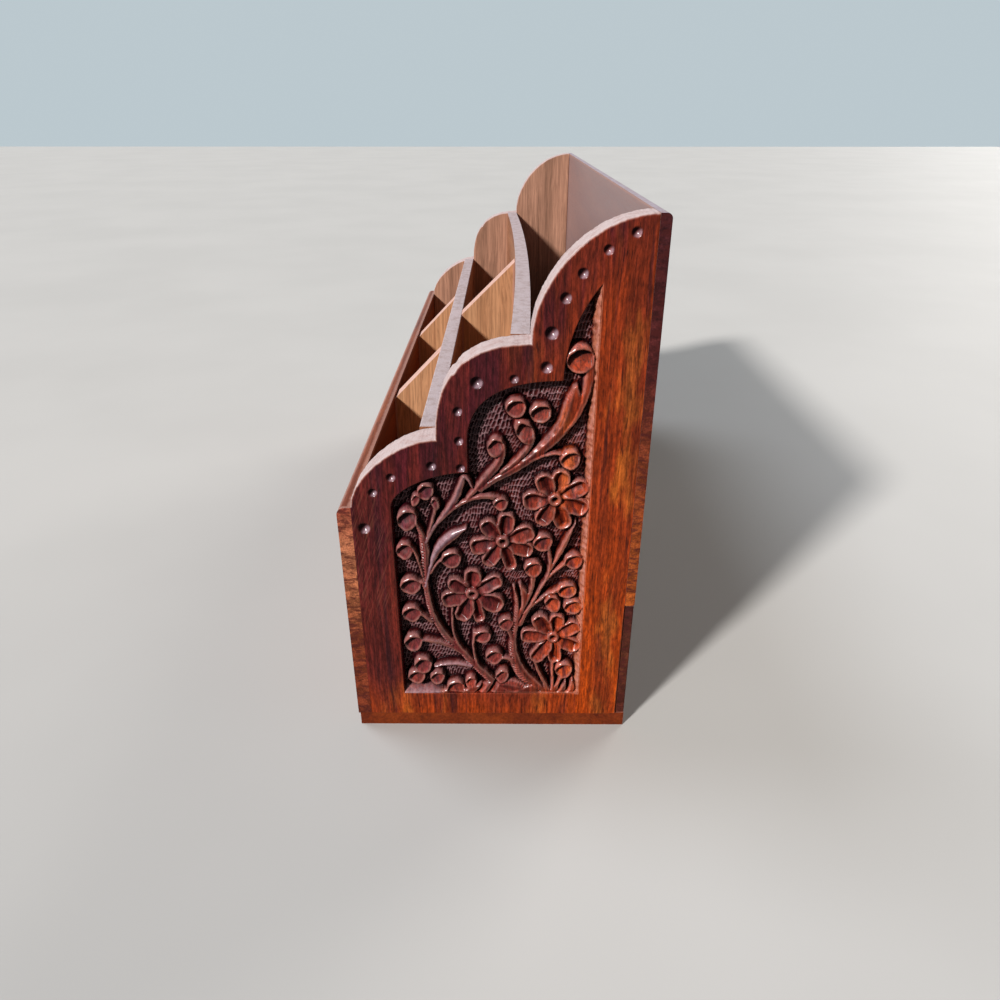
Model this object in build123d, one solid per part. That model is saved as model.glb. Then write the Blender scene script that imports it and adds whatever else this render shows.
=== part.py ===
from build123d import *
import os

# A stepped envelope rack with a drawer under its compartments. Sizes are in millimetres.
# X runs along the rack, the low side faces -Y, the tall side, where the drawer opens, faces +Y.
# Z is up. The origin is on the table, under the middle of the rack.

# Carcase: the overall length and depth, then the boards and slots across the depth from the
# low side. The rear slot takes what they leave.
length = 254.0
depth = 76.0
front_thickness = 3.6
front_slot = 17.1
divider_thickness = 4.5
middle_slot = 17.7
back_thickness = 2.5
end_thickness = 8.5

# Heights above the table.
base_thickness = 4.5
bay_height = 37.5
floor_thickness = 3.0
front_height = 71.0
front_divider_height = 89.2
rear_divider_height = 112.2
height = 139.5

# The base stops short of the front and the ends. Worn arrises on the outer long edges.
base_inset = 0.4
front_arris = 2.0
back_arris = 1.2
board_arris = 0.3

# The three lobes of the end boards: 0.55 is a quarter ellipse, less is flatter, more is squarer.
lobe_fullness = (0.43, 0.68, 0.51)

# The sunk field of the carving on each end board, and its lobes.
carving_depth = 3.0
carving_front_border = 10.0
carving_rear_border = 11.0
carving_bottom_border = 7.3
carving_step_in = 7.6
carving_step_down = 8.6
carving_tip_down = 14.5
carving_fullness = (0.47, 0.67, 0.45)
carving_tip_rise = 1.2

# The main forms of the carving stand on that field's floor, this far under the board's face.
carving_form_drop = 0.6

# Their places are hundredths of the field's width, from its front edge, and of its height, from
# its bottom. Their radii and half widths are hundredths of its width.
petal_count = 7
petal_turn = 80.0
petal_reach = 16.2
petal_half_width = 4.6
flower_middle_radius = 6.1
flower_places = [(84.3, 17.0), (40.5, 29.3), (56.6, 43.5), (82.8, 54.1)]
buds = [
    (29.7, 1.6, 5.5), (56.0, 5.1, 4.7), (91.2, 7.2, 5.5), (51.5, 11.1, 5.1), (6.7, 15.4, 5.7),
    (45.2, 17.3, 4.9), (58.3, 21.1, 4.5), (6.7, 23.8, 5.5), (7.0, 31.7, 5.8), (72.6, 36.4, 5.1),
    (93.5, 38.5, 5.0), (29.4, 38.9, 5.6), (5.1, 41.2, 4.5), (77.3, 43.3, 5.3), (7.6, 49.2, 6.1),
    (55.4, 53.1, 3.9), (89.6, 63.7, 5.3), (53.0, 66.4, 5.1), (91.6, 85.5, 6.7),
]
small_flower_petals = [
    (11.2, 8.7, 5.7), (7.4, 4.9, 5.1), (19.0, 4.6, 4.9), (83.4, 26.9, 5.3), (91.0, 30.5, 5.1),
    (94.1, 26.0, 4.9), (17.8, 56.1, 4.7), (62.6, 75.3, 5.3), (74.4, 74.1, 5.3), (67.1, 70.1, 5.7),
]
stems = [
    [(53.0, 1.6, 2.9), (34.4, 12.2, 2.5), (17.6, 24.5, 2.0), (15.3, 34.6, 1.9), (12.3, 49.2, 1.4)],
    [(84.3, -1.1, 2.5), (67.9, 6.8, 3.1), (62.4, 16.5, 2.0), (66.5, 24.7, 1.6), (72.8, 35.5, 1.4)],
    [(66.3, 22.7, 1.2), (76.3, 30.6, 1.4), (92.0, 38.3, 1.2)],
    [(47.0, 58.0, 1.4), (67.5, 63.3, 2.7), (84.5, 70.4, 3.9), (89.8, 79.2, 1.2)],
    [(83.4, 68.2, 1.2), (93.3, 74.9, 2.0), (96.5, 84.6, 2.2)],
    [(55.8, 66.1, 1.8), (50.3, 60.4, 2.2), (32.3, 52.2, 1.2)],
    [(16.0, 43.5, 1.0), (28.6, 51.4, 1.8), (36.8, 59.5, 0.8)],
    [(34.4, 52.6, 1.2), (46.2, 54.9, 1.6), (54.8, 53.7, 1.4)],
    [(16.0, 32.4, 1.0), (22.3, 40.8, 2.0), (36.4, 46.6, 0.8)],
]

# The rear divider bows towards the tall side. The joint of the partition behind it is glued.
rear_divider_bow = 2.4
glue_gap = 0.05

# Cross partitions: their tops slope up from the board in front to below the top of the one behind.
partition_thickness = 8.0
front_partition_drop = 1.5
front_partition_rear_drop = 2.2
middle_partition_rear_drop = 3.6

# Drawer box, and the gaps that it runs with.
drawer_board = 5.0
drawer_bottom_thickness = 3.0
drawer_running_gap = 0.3
drawer_side_gap = 0.6
drawer_top_gap = 1.4
drawer_inner_gap = 1.5
drawer_face_gap = 0.2
drawer_face_margin = 0.4

# Knob and its screw.
knob_length = 14.0
knob_head_diameter = 13.0
knob_neck_diameter = 5.0
knob_foot_diameter = 9.0
knob_foot_thickness = 1.6
knob_bore_depth = 8.0
screw_diameter = 3.0
screw_hole_diameter = 3.4
screw_head_diameter = 6.0
screw_head_height = 1.8
screw_slot_width = 0.9
screw_reach = 7.0
thread_gap = 0.05

# Panel pins, and the countersunk screws under the base.
pin_diameter = 1.2
pin_length = 14.0
pin_head_diameter = 2.0
pin_head_height = 0.6
pin_gap = 0.03
pin_edge = 9.0
pins_per_edge = 3
base_screw_diameter = 3.0
base_screw_length = 18.0
base_screw_head_diameter = 6.0
base_screw_head_height = 1.7
base_screw_sink = 0.3
base_screw_edge = 14.0

# Places that follow from the sizes.
front_face = -depth / 2
back_face = depth / 2
end_front = front_face + front_thickness
end_back = back_face - back_thickness
front_divider_front = end_front + front_slot
front_divider_back = front_divider_front + divider_thickness
rear_divider_front = front_divider_back + middle_slot
rear_divider_back = rear_divider_front + divider_thickness
end_face = length / 2
inner_end = end_face - end_thickness
bay_top = base_thickness + bay_height
floor_top = bay_top + floor_thickness
partition_spacing = 2 * inner_end / 3
end_core = inner_end + (end_thickness - carving_depth) / 2
field_front = end_front + carving_front_border
field_rear = end_back - carving_rear_border
field_bottom = base_thickness + carving_bottom_border
field_tip = height - carving_tip_down
field_part = (field_rear - field_front) / 100

standing = (Align.CENTER, Align.CENTER, Align.MIN)
hanging = (Align.CENTER, Align.CENTER, Align.MAX)


def block(low, high):
    """A board between two opposite corners."""
    size = [high[i] - low[i] for i in range(3)]
    middle = [(high[i] + low[i]) / 2 for i in range(3)]
    return Pos(*middle) * Box(*size)


def eased(board, radius=board_arris):
    """The same board with the long edges of its top worn round."""
    top = board.faces().sort_by(Axis.Z)[-1]
    return fillet(top.edges().filter_by(Axis.X), radius)


def lobe(start, end, fullness, rise=0.0):
    """One scallop: it leaves its start upright and reaches its end level, or at a rise."""
    run = end[0] - start[0]
    climb = end[1] - start[1]
    upright = (start[0], start[1] + fullness * climb)
    level = (end[0] - fullness * run, end[1] - rise * fullness * run)
    return Bezier(start, upright, level, end)


def prism(outline, x_from, thickness):
    """A closed outline in Y and Z as a plate that is thick along X."""
    return extrude(Plane.YZ.offset(x_from) * make_face(outline), amount=thickness)


def end_outline():
    front_top = (end_front, front_height)
    front_notch = (front_divider_back, front_divider_height)
    rear_notch = (rear_divider_back, rear_divider_height)
    rear_top = (end_back, height)
    return (
        Polyline(rear_top, (end_back, base_thickness), (end_front, base_thickness), front_top)
        + lobe(front_top, front_notch, lobe_fullness[0])
        + lobe(front_notch, rear_notch, lobe_fullness[1])
        + lobe(rear_notch, rear_top, lobe_fullness[2])
    )


def carving_outline():
    first_step = (front_divider_back + carving_step_in, front_divider_height - carving_step_down)
    second_step = (rear_divider_back + carving_step_in, rear_divider_height - carving_step_down)
    tip = (field_rear, field_tip)
    first_start = (field_front, front_height)
    second_start = (first_step[0], first_step[1] + carving_step_in)
    third_start = (second_step[0], second_step[1])
    return (
        Polyline(tip, (field_rear, field_bottom), (field_front, field_bottom), first_start)
        + lobe(first_start, first_step, carving_fullness[0])
        + Polyline(first_step, second_start)
        + lobe(second_start, second_step, carving_fullness[1])
        + lobe(third_start, tip, carving_fullness[2], carving_tip_rise)
    )


def on_field(across, up):
    """A place on the field, from hundredths of its width and of its height."""
    return (field_front + across * field_part, field_bottom + up * (field_tip - field_bottom) / 100)


def flower(across, up):
    """A round middle with petals all round it."""
    petal_length = petal_reach - flower_middle_radius / 2
    petal = Pos((petal_reach - petal_length / 2) * field_part, 0) * Ellipse(
        petal_length / 2 * field_part, petal_half_width * field_part
    )
    outline = Circle(flower_middle_radius * field_part)
    for i in range(petal_count):
        outline += Rot(0, 0, petal_turn + i * 360 / petal_count) * petal
    return Pos(*on_field(across, up)) * outline


def bud(across, up, radius):
    return Pos(*on_field(across, up)) * Circle(radius * field_part)


def stem(points):
    """A strip along a smooth line: each point gives its place and the strip's half width there."""
    line = [Vector(*on_field(across, up)) for across, up, half_width in points]
    sides = ([], [])
    for i, (across, up, half_width) in enumerate(points):
        ahead = line[min(i + 1, len(line) - 1)] - line[max(i - 1, 0)]
        aside = ahead.normalized().rotate(Axis.Z, 90) * (half_width * field_part)
        sides[0].append(line[i] + aside)
        sides[1].append(line[i] - aside)
    ends = Line(sides[0][0], sides[1][0]) + Line(sides[0][-1], sides[1][-1])
    return make_face(Spline(*sides[0]) + Spline(*sides[1]) + ends)


def carved_forms():
    """The flowers, buds and stems, from inside the board up to just under its face."""
    outlines = [flower(*place) for place in flower_places]
    outlines += [bud(*place) for place in buds + small_flower_petals]
    outlines += [stem(points) for points in stems]
    plane = Plane.YZ.offset(end_core)
    return [extrude(plane * outline, amount=end_face - carving_form_drop - end_core) for outline in outlines]


def edge_heights(low, high):
    """Evenly spaced heights of the pins along an edge between two heights."""
    first = low + pin_edge
    step = (high - low - 2 * pin_edge) / (pins_per_edge - 1)
    return [first + i * step for i in range(pins_per_edge)]


def rod(radius, height, align=standing):
    """A round rod on Z that stands on the origin, or hangs from it."""
    return Cylinder(radius, height, align=align)


def pin(gap=0.0):
    """A headed pin along +Z from the face that it is driven into, or its hole."""
    return rod(pin_diameter / 2 + gap, pin_length + gap) + rod(pin_head_diameter / 2 + gap, pin_head_height)


def countersunk_screw(gap=0.0):
    """A countersunk wood screw along +Z from the face that it is driven into, or its hole."""
    head_radius = base_screw_head_diameter / 2 + gap
    radius = base_screw_diameter / 2 + gap
    head = Cone(head_radius, radius, base_screw_head_height, align=standing)
    return head + rod(radius, base_screw_length + gap)


end_middle = inner_end + end_thickness / 2
front_pin_places = [
    Location((side * end_middle, front_face, z), (-90, 0, 0))
    for side in (-1, 1)
    for z in edge_heights(base_thickness, front_height)
]
back_pin_places = [
    Location((side * end_middle, back_face, z), (90, 0, 0))
    for side in (-1, 1)
    for z in edge_heights(bay_top, height)
]
base_screw_places = [
    Location((side * end_core, y, base_screw_sink))
    for side in (-1, 1)
    for y in (end_front + base_screw_edge, end_back - base_screw_edge)
]


def group(make, places, gap=0.0):
    return [place * make(gap) for place in places]


def without(board, tools):
    for tool in tools:
        board = board - tool
    return board


def right_end_panel():
    board = prism(end_outline(), inner_end, end_thickness)
    board = board - prism(carving_outline(), end_face - carving_depth, carving_depth)
    board = board.fuse(*carved_forms())
    right_places = [place for place in front_pin_places + back_pin_places if place.position.X > 0]
    board = without(board, group(pin, right_places, pin_gap))
    right_screws = [place for place in base_screw_places if place.position.X > 0]
    return without(board, group(countersunk_screw, right_screws, thread_gap))


def left_end_panel():
    return mirror(right_end_panel(), about=Plane.YZ)


def front_panel():
    board = block((-end_face, front_face, base_thickness), (end_face, end_front, front_height))
    outer_top = board.edges().filter_by(Axis.X).group_by(Axis.Z)[-1].sort_by(Axis.Y)[0]
    return without(fillet(outer_top, front_arris), group(pin, front_pin_places, pin_gap))


def back_panel():
    board = block((-end_face, end_back, bay_top), (end_face, back_face, height))
    outer_top = board.edges().filter_by(Axis.X).group_by(Axis.Z)[-1].sort_by(Axis.Y)[-1]
    return without(fillet(outer_top, back_arris), group(pin, back_pin_places, pin_gap))


def base_board():
    board = block(
        (-end_face + base_inset, front_face + base_inset, 0),
        (end_face - base_inset, back_face, base_thickness),
    )
    board = without(board, group(countersunk_screw, base_screw_places, thread_gap))
    sink = rod(base_screw_head_diameter / 2 + thread_gap, base_screw_sink, hanging)
    return without(board, [place * sink for place in base_screw_places])


def compartment_floor():
    return block((-inner_end, end_front, bay_top), (inner_end, end_back, floor_top))


def front_divider():
    return eased(block(
        (-inner_end, front_divider_front, floor_top),
        (inner_end, front_divider_back, front_divider_height),
    ))


def rear_divider():
    """The bowed board: both faces are arcs between the end boards."""
    face_line = ThreePointArc(
        (-inner_end, rear_divider_front),
        (0, rear_divider_front + rear_divider_bow),
        (inner_end, rear_divider_front),
    )
    back_line = ThreePointArc(
        (inner_end, rear_divider_back),
        (0, rear_divider_back + rear_divider_bow),
        (-inner_end, rear_divider_back),
    )
    right = Line((inner_end, rear_divider_front), (inner_end, rear_divider_back))
    left = Line((-inner_end, rear_divider_back), (-inner_end, rear_divider_front))
    section = make_face(face_line + right + back_line + left)
    return extrude(Plane.XY.offset(floor_top) * section, amount=rear_divider_height - floor_top)


def partition(x_middle, y_front, y_back, front_top, rear_top):
    """A cross board on the floor whose top slopes up towards the tall side."""
    outline = Polyline(
        (y_front, floor_top), (y_back, floor_top), (y_back, rear_top), (y_front, front_top), close=True
    )
    return prism(outline, x_middle - partition_thickness / 2, partition_thickness)


def front_partition(side):
    return partition(
        side * partition_spacing / 2,
        end_front,
        front_divider_front,
        front_height - front_partition_drop,
        front_divider_height - front_partition_rear_drop,
    )


def middle_partition():
    return partition(
        0,
        front_divider_back,
        rear_divider_front + rear_divider_bow - glue_gap,
        front_divider_height,
        rear_divider_height - middle_partition_rear_drop,
    )


# The drawer's box, inside the bay, and its face, which laps over the end boards.
drawer_half = inner_end - drawer_side_gap
drawer_floor = base_thickness + drawer_running_gap
drawer_floor_top = drawer_floor + drawer_bottom_thickness
drawer_top = bay_top - drawer_top_gap
drawer_inner = end_front + drawer_inner_gap
face_inner = end_back + drawer_face_gap
face_low = base_thickness + drawer_face_margin
face_high = bay_top - drawer_face_margin
knob_height = (face_low + face_high) / 2


def drawer_bottom():
    return block((-drawer_half, drawer_inner, drawer_floor), (drawer_half, face_inner, drawer_floor_top))


def drawer_side(side):
    board = block(
        (drawer_half - drawer_board, drawer_inner, drawer_floor_top),
        (drawer_half, face_inner, drawer_top),
    )
    return board if side > 0 else mirror(board, about=Plane.YZ)


def drawer_inner_end():
    return block(
        (-drawer_half + drawer_board, drawer_inner, drawer_floor_top),
        (drawer_half - drawer_board, drawer_inner + drawer_board, drawer_top),
    )


def drawer_face():
    board = block(
        (-end_face + drawer_face_margin, face_inner, face_low),
        (end_face - drawer_face_margin, back_face, face_high),
    )
    board = fillet(board.faces().sort_by(Axis.Y)[-1].edges(), board_arris)
    hole = Cylinder(screw_hole_diameter / 2, 2 * back_thickness)
    return board - Location((0, face_inner, knob_height), (90, 0, 0)) * hole


def drawer_knob():
    """A turned knob: a foot, a waisted neck and a round head, with a blind bore for its screw."""
    foot = knob_foot_diameter / 2
    neck = knob_neck_diameter / 2
    head = knob_head_diameter / 2
    bore = screw_diameter / 2 + thread_gap
    foot_edge = knob_foot_thickness / 2
    waist = knob_foot_thickness + neck
    head_low = waist + neck / 2
    profile = (
        Polyline((neck, knob_length), (0, knob_length), (0, knob_bore_depth), (bore, knob_bore_depth))
        + Polyline((bore, knob_bore_depth), (bore, 0), (foot, 0), (foot, foot_edge))
        + ThreePointArc((foot, foot_edge), ((foot + neck) / 2, knob_foot_thickness), (neck, waist))
        + Line((neck, waist), (neck, head_low))
        + ThreePointArc((neck, head_low), (head, (head_low + knob_length) / 2), (neck, knob_length))
    )
    body = revolve(make_face(Plane.XZ * profile), Axis.Z)
    return Location((0, back_face, knob_height), (-90, 0, 0)) * body


def knob_screw():
    """A slotted machine screw from inside the drawer, through its face, into the knob."""
    head = rod(screw_head_diameter / 2, screw_head_height, hanging)
    shank = rod(screw_diameter / 2, back_face - face_inner + screw_reach)
    slot = Pos(0, 0, -screw_head_height) * Box(screw_head_diameter, screw_slot_width, screw_head_height)
    return Location((0, face_inner, knob_height), (-90, 0, 0)) * (head + shank - slot)


pieces = {
    "right_end_panel": right_end_panel(),
    "left_end_panel": left_end_panel(),
    "front_panel": front_panel(),
    "front_divider": front_divider(),
    "rear_divider": rear_divider(),
    "back_panel": back_panel(),
    "base_board": base_board(),
    "compartment_floor": compartment_floor(),
    "front_partition_right": front_partition(1),
    "front_partition_left": front_partition(-1),
    "middle_partition": middle_partition(),
    "front_panel_pins": Compound(group(pin, front_pin_places)),
    "back_panel_pins": Compound(group(pin, back_pin_places)),
    "base_screws": Compound(group(countersunk_screw, base_screw_places)),
    "drawer_face": drawer_face(),
    "drawer_right_side": drawer_side(1),
    "drawer_left_side": drawer_side(-1),
    "drawer_inner_end": drawer_inner_end(),
    "drawer_bottom": drawer_bottom(),
    "drawer_knob": drawer_knob(),
    "knob_screw": knob_screw(),
}

os.makedirs("parts", exist_ok=True)
for name, piece in pieces.items():
    export_step(piece, f"parts/{name}.step")
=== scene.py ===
import math

import bpy
import numpy as np
from bpy.props import FloatProperty, FloatVectorProperty, PointerProperty
from mathutils import Matrix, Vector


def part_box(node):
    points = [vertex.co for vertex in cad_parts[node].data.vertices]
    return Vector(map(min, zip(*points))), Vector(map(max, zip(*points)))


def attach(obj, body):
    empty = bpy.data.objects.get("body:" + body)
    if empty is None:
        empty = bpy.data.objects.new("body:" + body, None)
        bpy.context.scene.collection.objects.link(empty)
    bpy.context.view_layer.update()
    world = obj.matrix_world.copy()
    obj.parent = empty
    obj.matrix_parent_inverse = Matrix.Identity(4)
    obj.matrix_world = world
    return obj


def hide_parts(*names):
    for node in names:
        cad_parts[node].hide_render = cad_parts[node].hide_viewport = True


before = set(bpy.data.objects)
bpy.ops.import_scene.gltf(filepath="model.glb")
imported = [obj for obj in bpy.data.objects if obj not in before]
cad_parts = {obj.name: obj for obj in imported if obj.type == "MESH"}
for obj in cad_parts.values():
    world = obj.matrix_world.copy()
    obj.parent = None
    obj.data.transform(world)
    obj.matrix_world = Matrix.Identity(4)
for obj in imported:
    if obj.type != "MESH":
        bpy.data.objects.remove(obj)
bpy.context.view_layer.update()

bl_info = {
    "name": "Envelope Rack with Drawer",
    "version": (1, 0, 0),
    "blender": (4, 5, 0),
    "location": "3D Viewport > Sidebar > Rack",
    "description": "Carved ends, woods and stage for the stepped envelope rack",
    "category": "Object",
}

MM = 1000.0

# The end board's outline, in millimetres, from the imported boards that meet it.
END_LOW, END_HIGH = (np.array(corner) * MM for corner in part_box("right_end_panel"))
DIVIDER_THICKNESS = 4.5
FRONT_TOP = (END_LOW[1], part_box("front_panel")[1].z * MM)
FRONT_NOTCH = (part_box("front_divider")[1].y * MM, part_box("front_divider")[1].z * MM)
REAR_NOTCH = (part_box("rear_divider")[0].y * MM + DIVIDER_THICKNESS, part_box("rear_divider")[1].z * MM)
REAR_TOP = (END_HIGH[1], END_HIGH[2])
LOBE_FULLNESS = (0.43, 0.68, 0.51)

# The sunk field's outline: the borders round it, and how its steps stand off the board's own notches.
FRONT_BORDER, REAR_BORDER, FOOT_BORDER, TIP_BORDER = 10.0, 11.0, 7.3, 14.5
STEP_IN, STEP_DOWN, STEP_UP = 7.6, 8.6, 7.6
FIELD_FRONT = END_LOW[1] + FRONT_BORDER
FIELD_REAR = END_HIGH[1] - REAR_BORDER
FIELD_BOTTOM = END_LOW[2] + FOOT_BORDER
FIRST_START = (FIELD_FRONT, FRONT_TOP[1])
FIRST_STEP = (FRONT_NOTCH[0] + STEP_IN, FRONT_NOTCH[1] - STEP_DOWN)
SECOND_START = (FIRST_STEP[0], FIRST_STEP[1] + STEP_UP)
SECOND_STEP = (REAR_NOTCH[0] + STEP_IN, REAR_NOTCH[1] - STEP_DOWN)
TIP = (FIELD_REAR, REAR_TOP[1] - TIP_BORDER)

# How far the carving's sheet reaches past the field's edge, how far its floor lies above the full depth, and how
# far its flat back lies below it.
FIELD_MARGIN, FLOOR_RISE, BACK_DEPTH = 0.38, 0.3, 0.75

# The plain edges' arris, and a chip on the middle scallop: its place and its size along Y and Z.
PLAIN_ARRIS = 0.12
CHIP, CHIP_SIZE = (-8.1, 106.1), (0.5, 1.3)

# Punched dimples round the scallops: place along Y and Z, and radius.
DIMPLES = [
    (-31.45, 65.2, 1.3), (-28.6, 75.2, 0.95), (-23.9, 79.3, 0.95), (-14, 82.4, 1), (-6.95, 81.8, 0.95),
    (-7.2, 88.9, 0.95), (-7.3, 96.3, 0.95), (-2.8, 103.2, 1.25), (5.7, 104.1, 0.9), (13, 106.8, 1.2),
    (13.95, 114.6, 1.3), (16.75, 122.2, 1.1), (20.2, 127.4, 1), (25.3, 132.2, 0.95), (30.9, 135.7, 0.95),
]

# Stems and leaves: each runs through points, given by threes as the place along Y and Z and the half width.
STEMS = [
    [1, 14.4, 1.5, -1.6, 17.8, 1.35, -4.9, 21.6, 1.25, -7.6, 25.6, 1.2, -11.5, 30.2, 1.15, -14.2, 35, 1,
     -15.8, 39.5, 0.95, -16.5, 44, 0.9, -16.9, 48.5, 0.85, -16.8, 54, 1.15, -16.7, 59, 1.25, -17.5, 63.5, 0.8,
     -18.9, 66.8, 0.5],
    [-16.9, 47.5, 0.4, -15.6, 52.5, 0.5, -14.1, 57.1, 0.95, -11.9, 60.4, 1.35, -9.1, 62.9, 1.3, -6.1, 64.9, 0.35],
    [-16.2, 60.8, 0.5, -14.2, 64.8, 0.6, -12.4, 67.4, 0.7, -10.2, 70.4, 0.9, -8.3, 73.6, 1, -7, 77, 0.9,
     -6.2, 79.2, 0.6, -5, 78.2, 0.45, -4.3, 76.4, 0.3],
    [-16.3, 60.8, 0.4, -14.9, 65.2, 0.45, -13.9, 68.6, 0.5, -13.4, 71, 0.5],
    [-13.2, 66.2, 0.5, -10.3, 69.3, 0.55, -7.8, 71.4, 0.6, -4.8, 73.1, 0.7, -1.5, 73.9, 0.75, 1.8, 73.4, 0.7],
    [3.1, 87.4, 0.9, 2.9, 84.6, 1, 1.8, 82.3, 1.1, 0.2, 80.2, 1.1, -1.6, 78, 1, -3.3, 75.9, 0.8, -5.4, 73.4, 0.5],
    [19.9, 101.9, 0.7, 19.5, 98.6, 1.9, 18.6, 95, 1.95, 17.2, 91.9, 1.8, 14.9, 89, 1.6, 11.8, 86, 1.45,
     8.6, 83.3, 1.35, 5, 80.7, 1.15, 1.4, 78.5, 0.9, -2.2, 75.7, 0.7],
    [10.5, 89.4, 0.6, 9.4, 87, 0.75, 7.6, 84.7, 0.8, 5.3, 82.4, 0.7, 2.8, 80.5, 0.5],
    [23, 108.6, 1, 22.9, 104.5, 1.15, 22.4, 101, 1.1, 21.4, 97.3, 0.9, 20, 94, 0.7, 17.8, 91, 0.4],
    [9, 39, 0.5, 11.5, 42, 0.5, 14.5, 44.4, 0.55, 17.6, 46.4, 0.6],
    [19.6, 54.9, 0.6, 16.7, 52.2, 0.5, 14.6, 49.6, 0.5, 12.9, 46.4, 0.5, 11.3, 42.8, 0.5, 9.5, 39, 0.6,
     8, 35.3, 0.7],
    [16, 10.8, 1, 12.3, 14.1, 1.75, 9.2, 17.3, 1.95, 7.2, 21.3, 1.75, 6.2, 26, 1.3, 6.1, 30.5, 1, 6.7, 35, 0.95,
     7.1, 39.5, 0.75, 6.9, 43.5, 0.6, 6.3, 46.8, 0.3],
    [7, 36.5, 0.7, 8.3, 39.8, 0.7, 9.7, 43.2, 0.65, 10.9, 46.8, 0.65, 11.3, 50.6, 0.7],
    [8.4, 40.2, 0.35, 9, 43.2, 0.9, 8.9, 45.4, 1, 7.9, 47.6, 0.35],
    [16.6, 11.2, 0.8, 14.6, 16.2, 0.6, 12.9, 20.2, 0.5, 11.9, 24, 0.5],
    [17.2, 11.6, 0.6, 17.3, 16.5, 0.45, 17, 20.5, 0.45, 17.3, 23.5, 0.5],
    [16.9, 11.6, 0.5, 18.6, 14.6, 0.45, 19.8, 17.4, 0.5],
    [17, 11.4, 0.7, 18, 13, 0.9, 18.9, 15.2, 0.35],
    [18.6, 11.4, 0.6, 20.2, 13, 0.9, 20.9, 15.6, 0.3],
    [21.4, 11.4, 0.6, 22.8, 13.2, 0.95, 22.7, 16.4, 0.3],
    [-15.5, 20.9, 0.35, -12.6, 21.6, 0.6, -9, 21.8, 0.65, -5.6, 21, 0.7],
    [-19, 30.1, 0.5, -16.2, 29.6, 0.65, -13.2, 28.9, 0.7, -10.4, 27.6, 0.7, -8, 25.8, 0.6],
    [-10.1, 40.6, 0.35, -10.2, 36.5, 0.4, -10, 32.8, 0.45, -9.1, 29.4, 0.5, -7.7, 26.4, 0.55],
    [-4.3, 32.5, 0.5, -4.7, 29, 0.45, -4.5, 25.5, 0.45, -3.9, 22.3, 0.5, -2.8, 19.4, 0.6],
    [2.4, 24, 0.5, 4.6, 23.7, 0.6, 6.8, 22.4, 0.7],
    [4.4, 34.8, 0.7, 5.2, 32.6, 0.7, 6, 30.4, 0.6],
    [-19.4, 39.9, 0.5, -17.9, 38.2, 0.55, -15.8, 36.2, 0.6],
    [-18.9, 48.8, 0.5, -17.6, 48.4, 0.5, -16.9, 46, 0.5],
    [-11.6, 56, 0.4, -13.6, 54.6, 0.45, -15.4, 51.6, 0.4],
    [-20.3, 59.8, 0.45, -19.1, 57.6, 0.45, -18.3, 54.5, 0.45, -17.5, 50.6, 0.4],
    [14.9, 59, 0.55, 15.5, 55.6, 0.55, 15.3, 52.4, 0.5, 14.4, 49.4, 0.4],
    [21.4, 66.6, 0.2, 20.1, 63.2, 0.55, 18.6, 59.4, 0.75, 16.9, 55.6, 0.55, 15.3, 52.2, 0.45],
    [17.5, 85.2, 0.45, 15.1, 85.4, 0.5, 12.6, 84.7, 0.5, 9.8, 83.4, 0.5],
    [1.8, 14.4, 1.3, 4.6, 13.9, 2.2, 7.6, 13, 2.2, 10.6, 11.9, 1.4, 13.4, 10.8, 0.6],
]

# The relief of grain on a lacquered board, as a bump's strength and distance, and how much rougher a sawn top is.
WOOD_BUMP = (0.35, 0.00006)
SAWN_RELIEF = 3.0

# What a point of the carved wood is, and what light and shade are painted on it: each mark steers the
# finish, from 0 for none of it.
MARKS = ("worn", "sawn", "inside", "sunk", "grime", "gloss", "bloom", "rub_wear_and_painted_light")

# The two main stems are notched across their gentler side, some leaves carry a painted pale sheen that
# stands for a reflection, and V cuts part the wood left at the field's foot.
STROKED = (0, 11)
SHEENED_LEAVES = {1: 0.8, 2: 0.35, 20: 0.6}
FOOT_CUTS = [((1.7, 16.4), (-0.9, 11.3), 1.5), ((-1.7, 15.4), (-4.4, 11.3), 1.5)]

# The upper left of the end board, towards the light along its face, the way that stems and petals lean,
# and the way that buds are cut. The side of a dimple that faces the light, which gets gloss and a painted
# highlight while its other side gets painted shade, and how much wider its bowl is than its radius.
UP_LEFT = (-0.51, 0.86)
CUT_WAY = (-0.36, 0.93)
DIMPLE_LIT = (0.75, -0.66)
DIMPLE_SPREAD = 1.22

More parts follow.
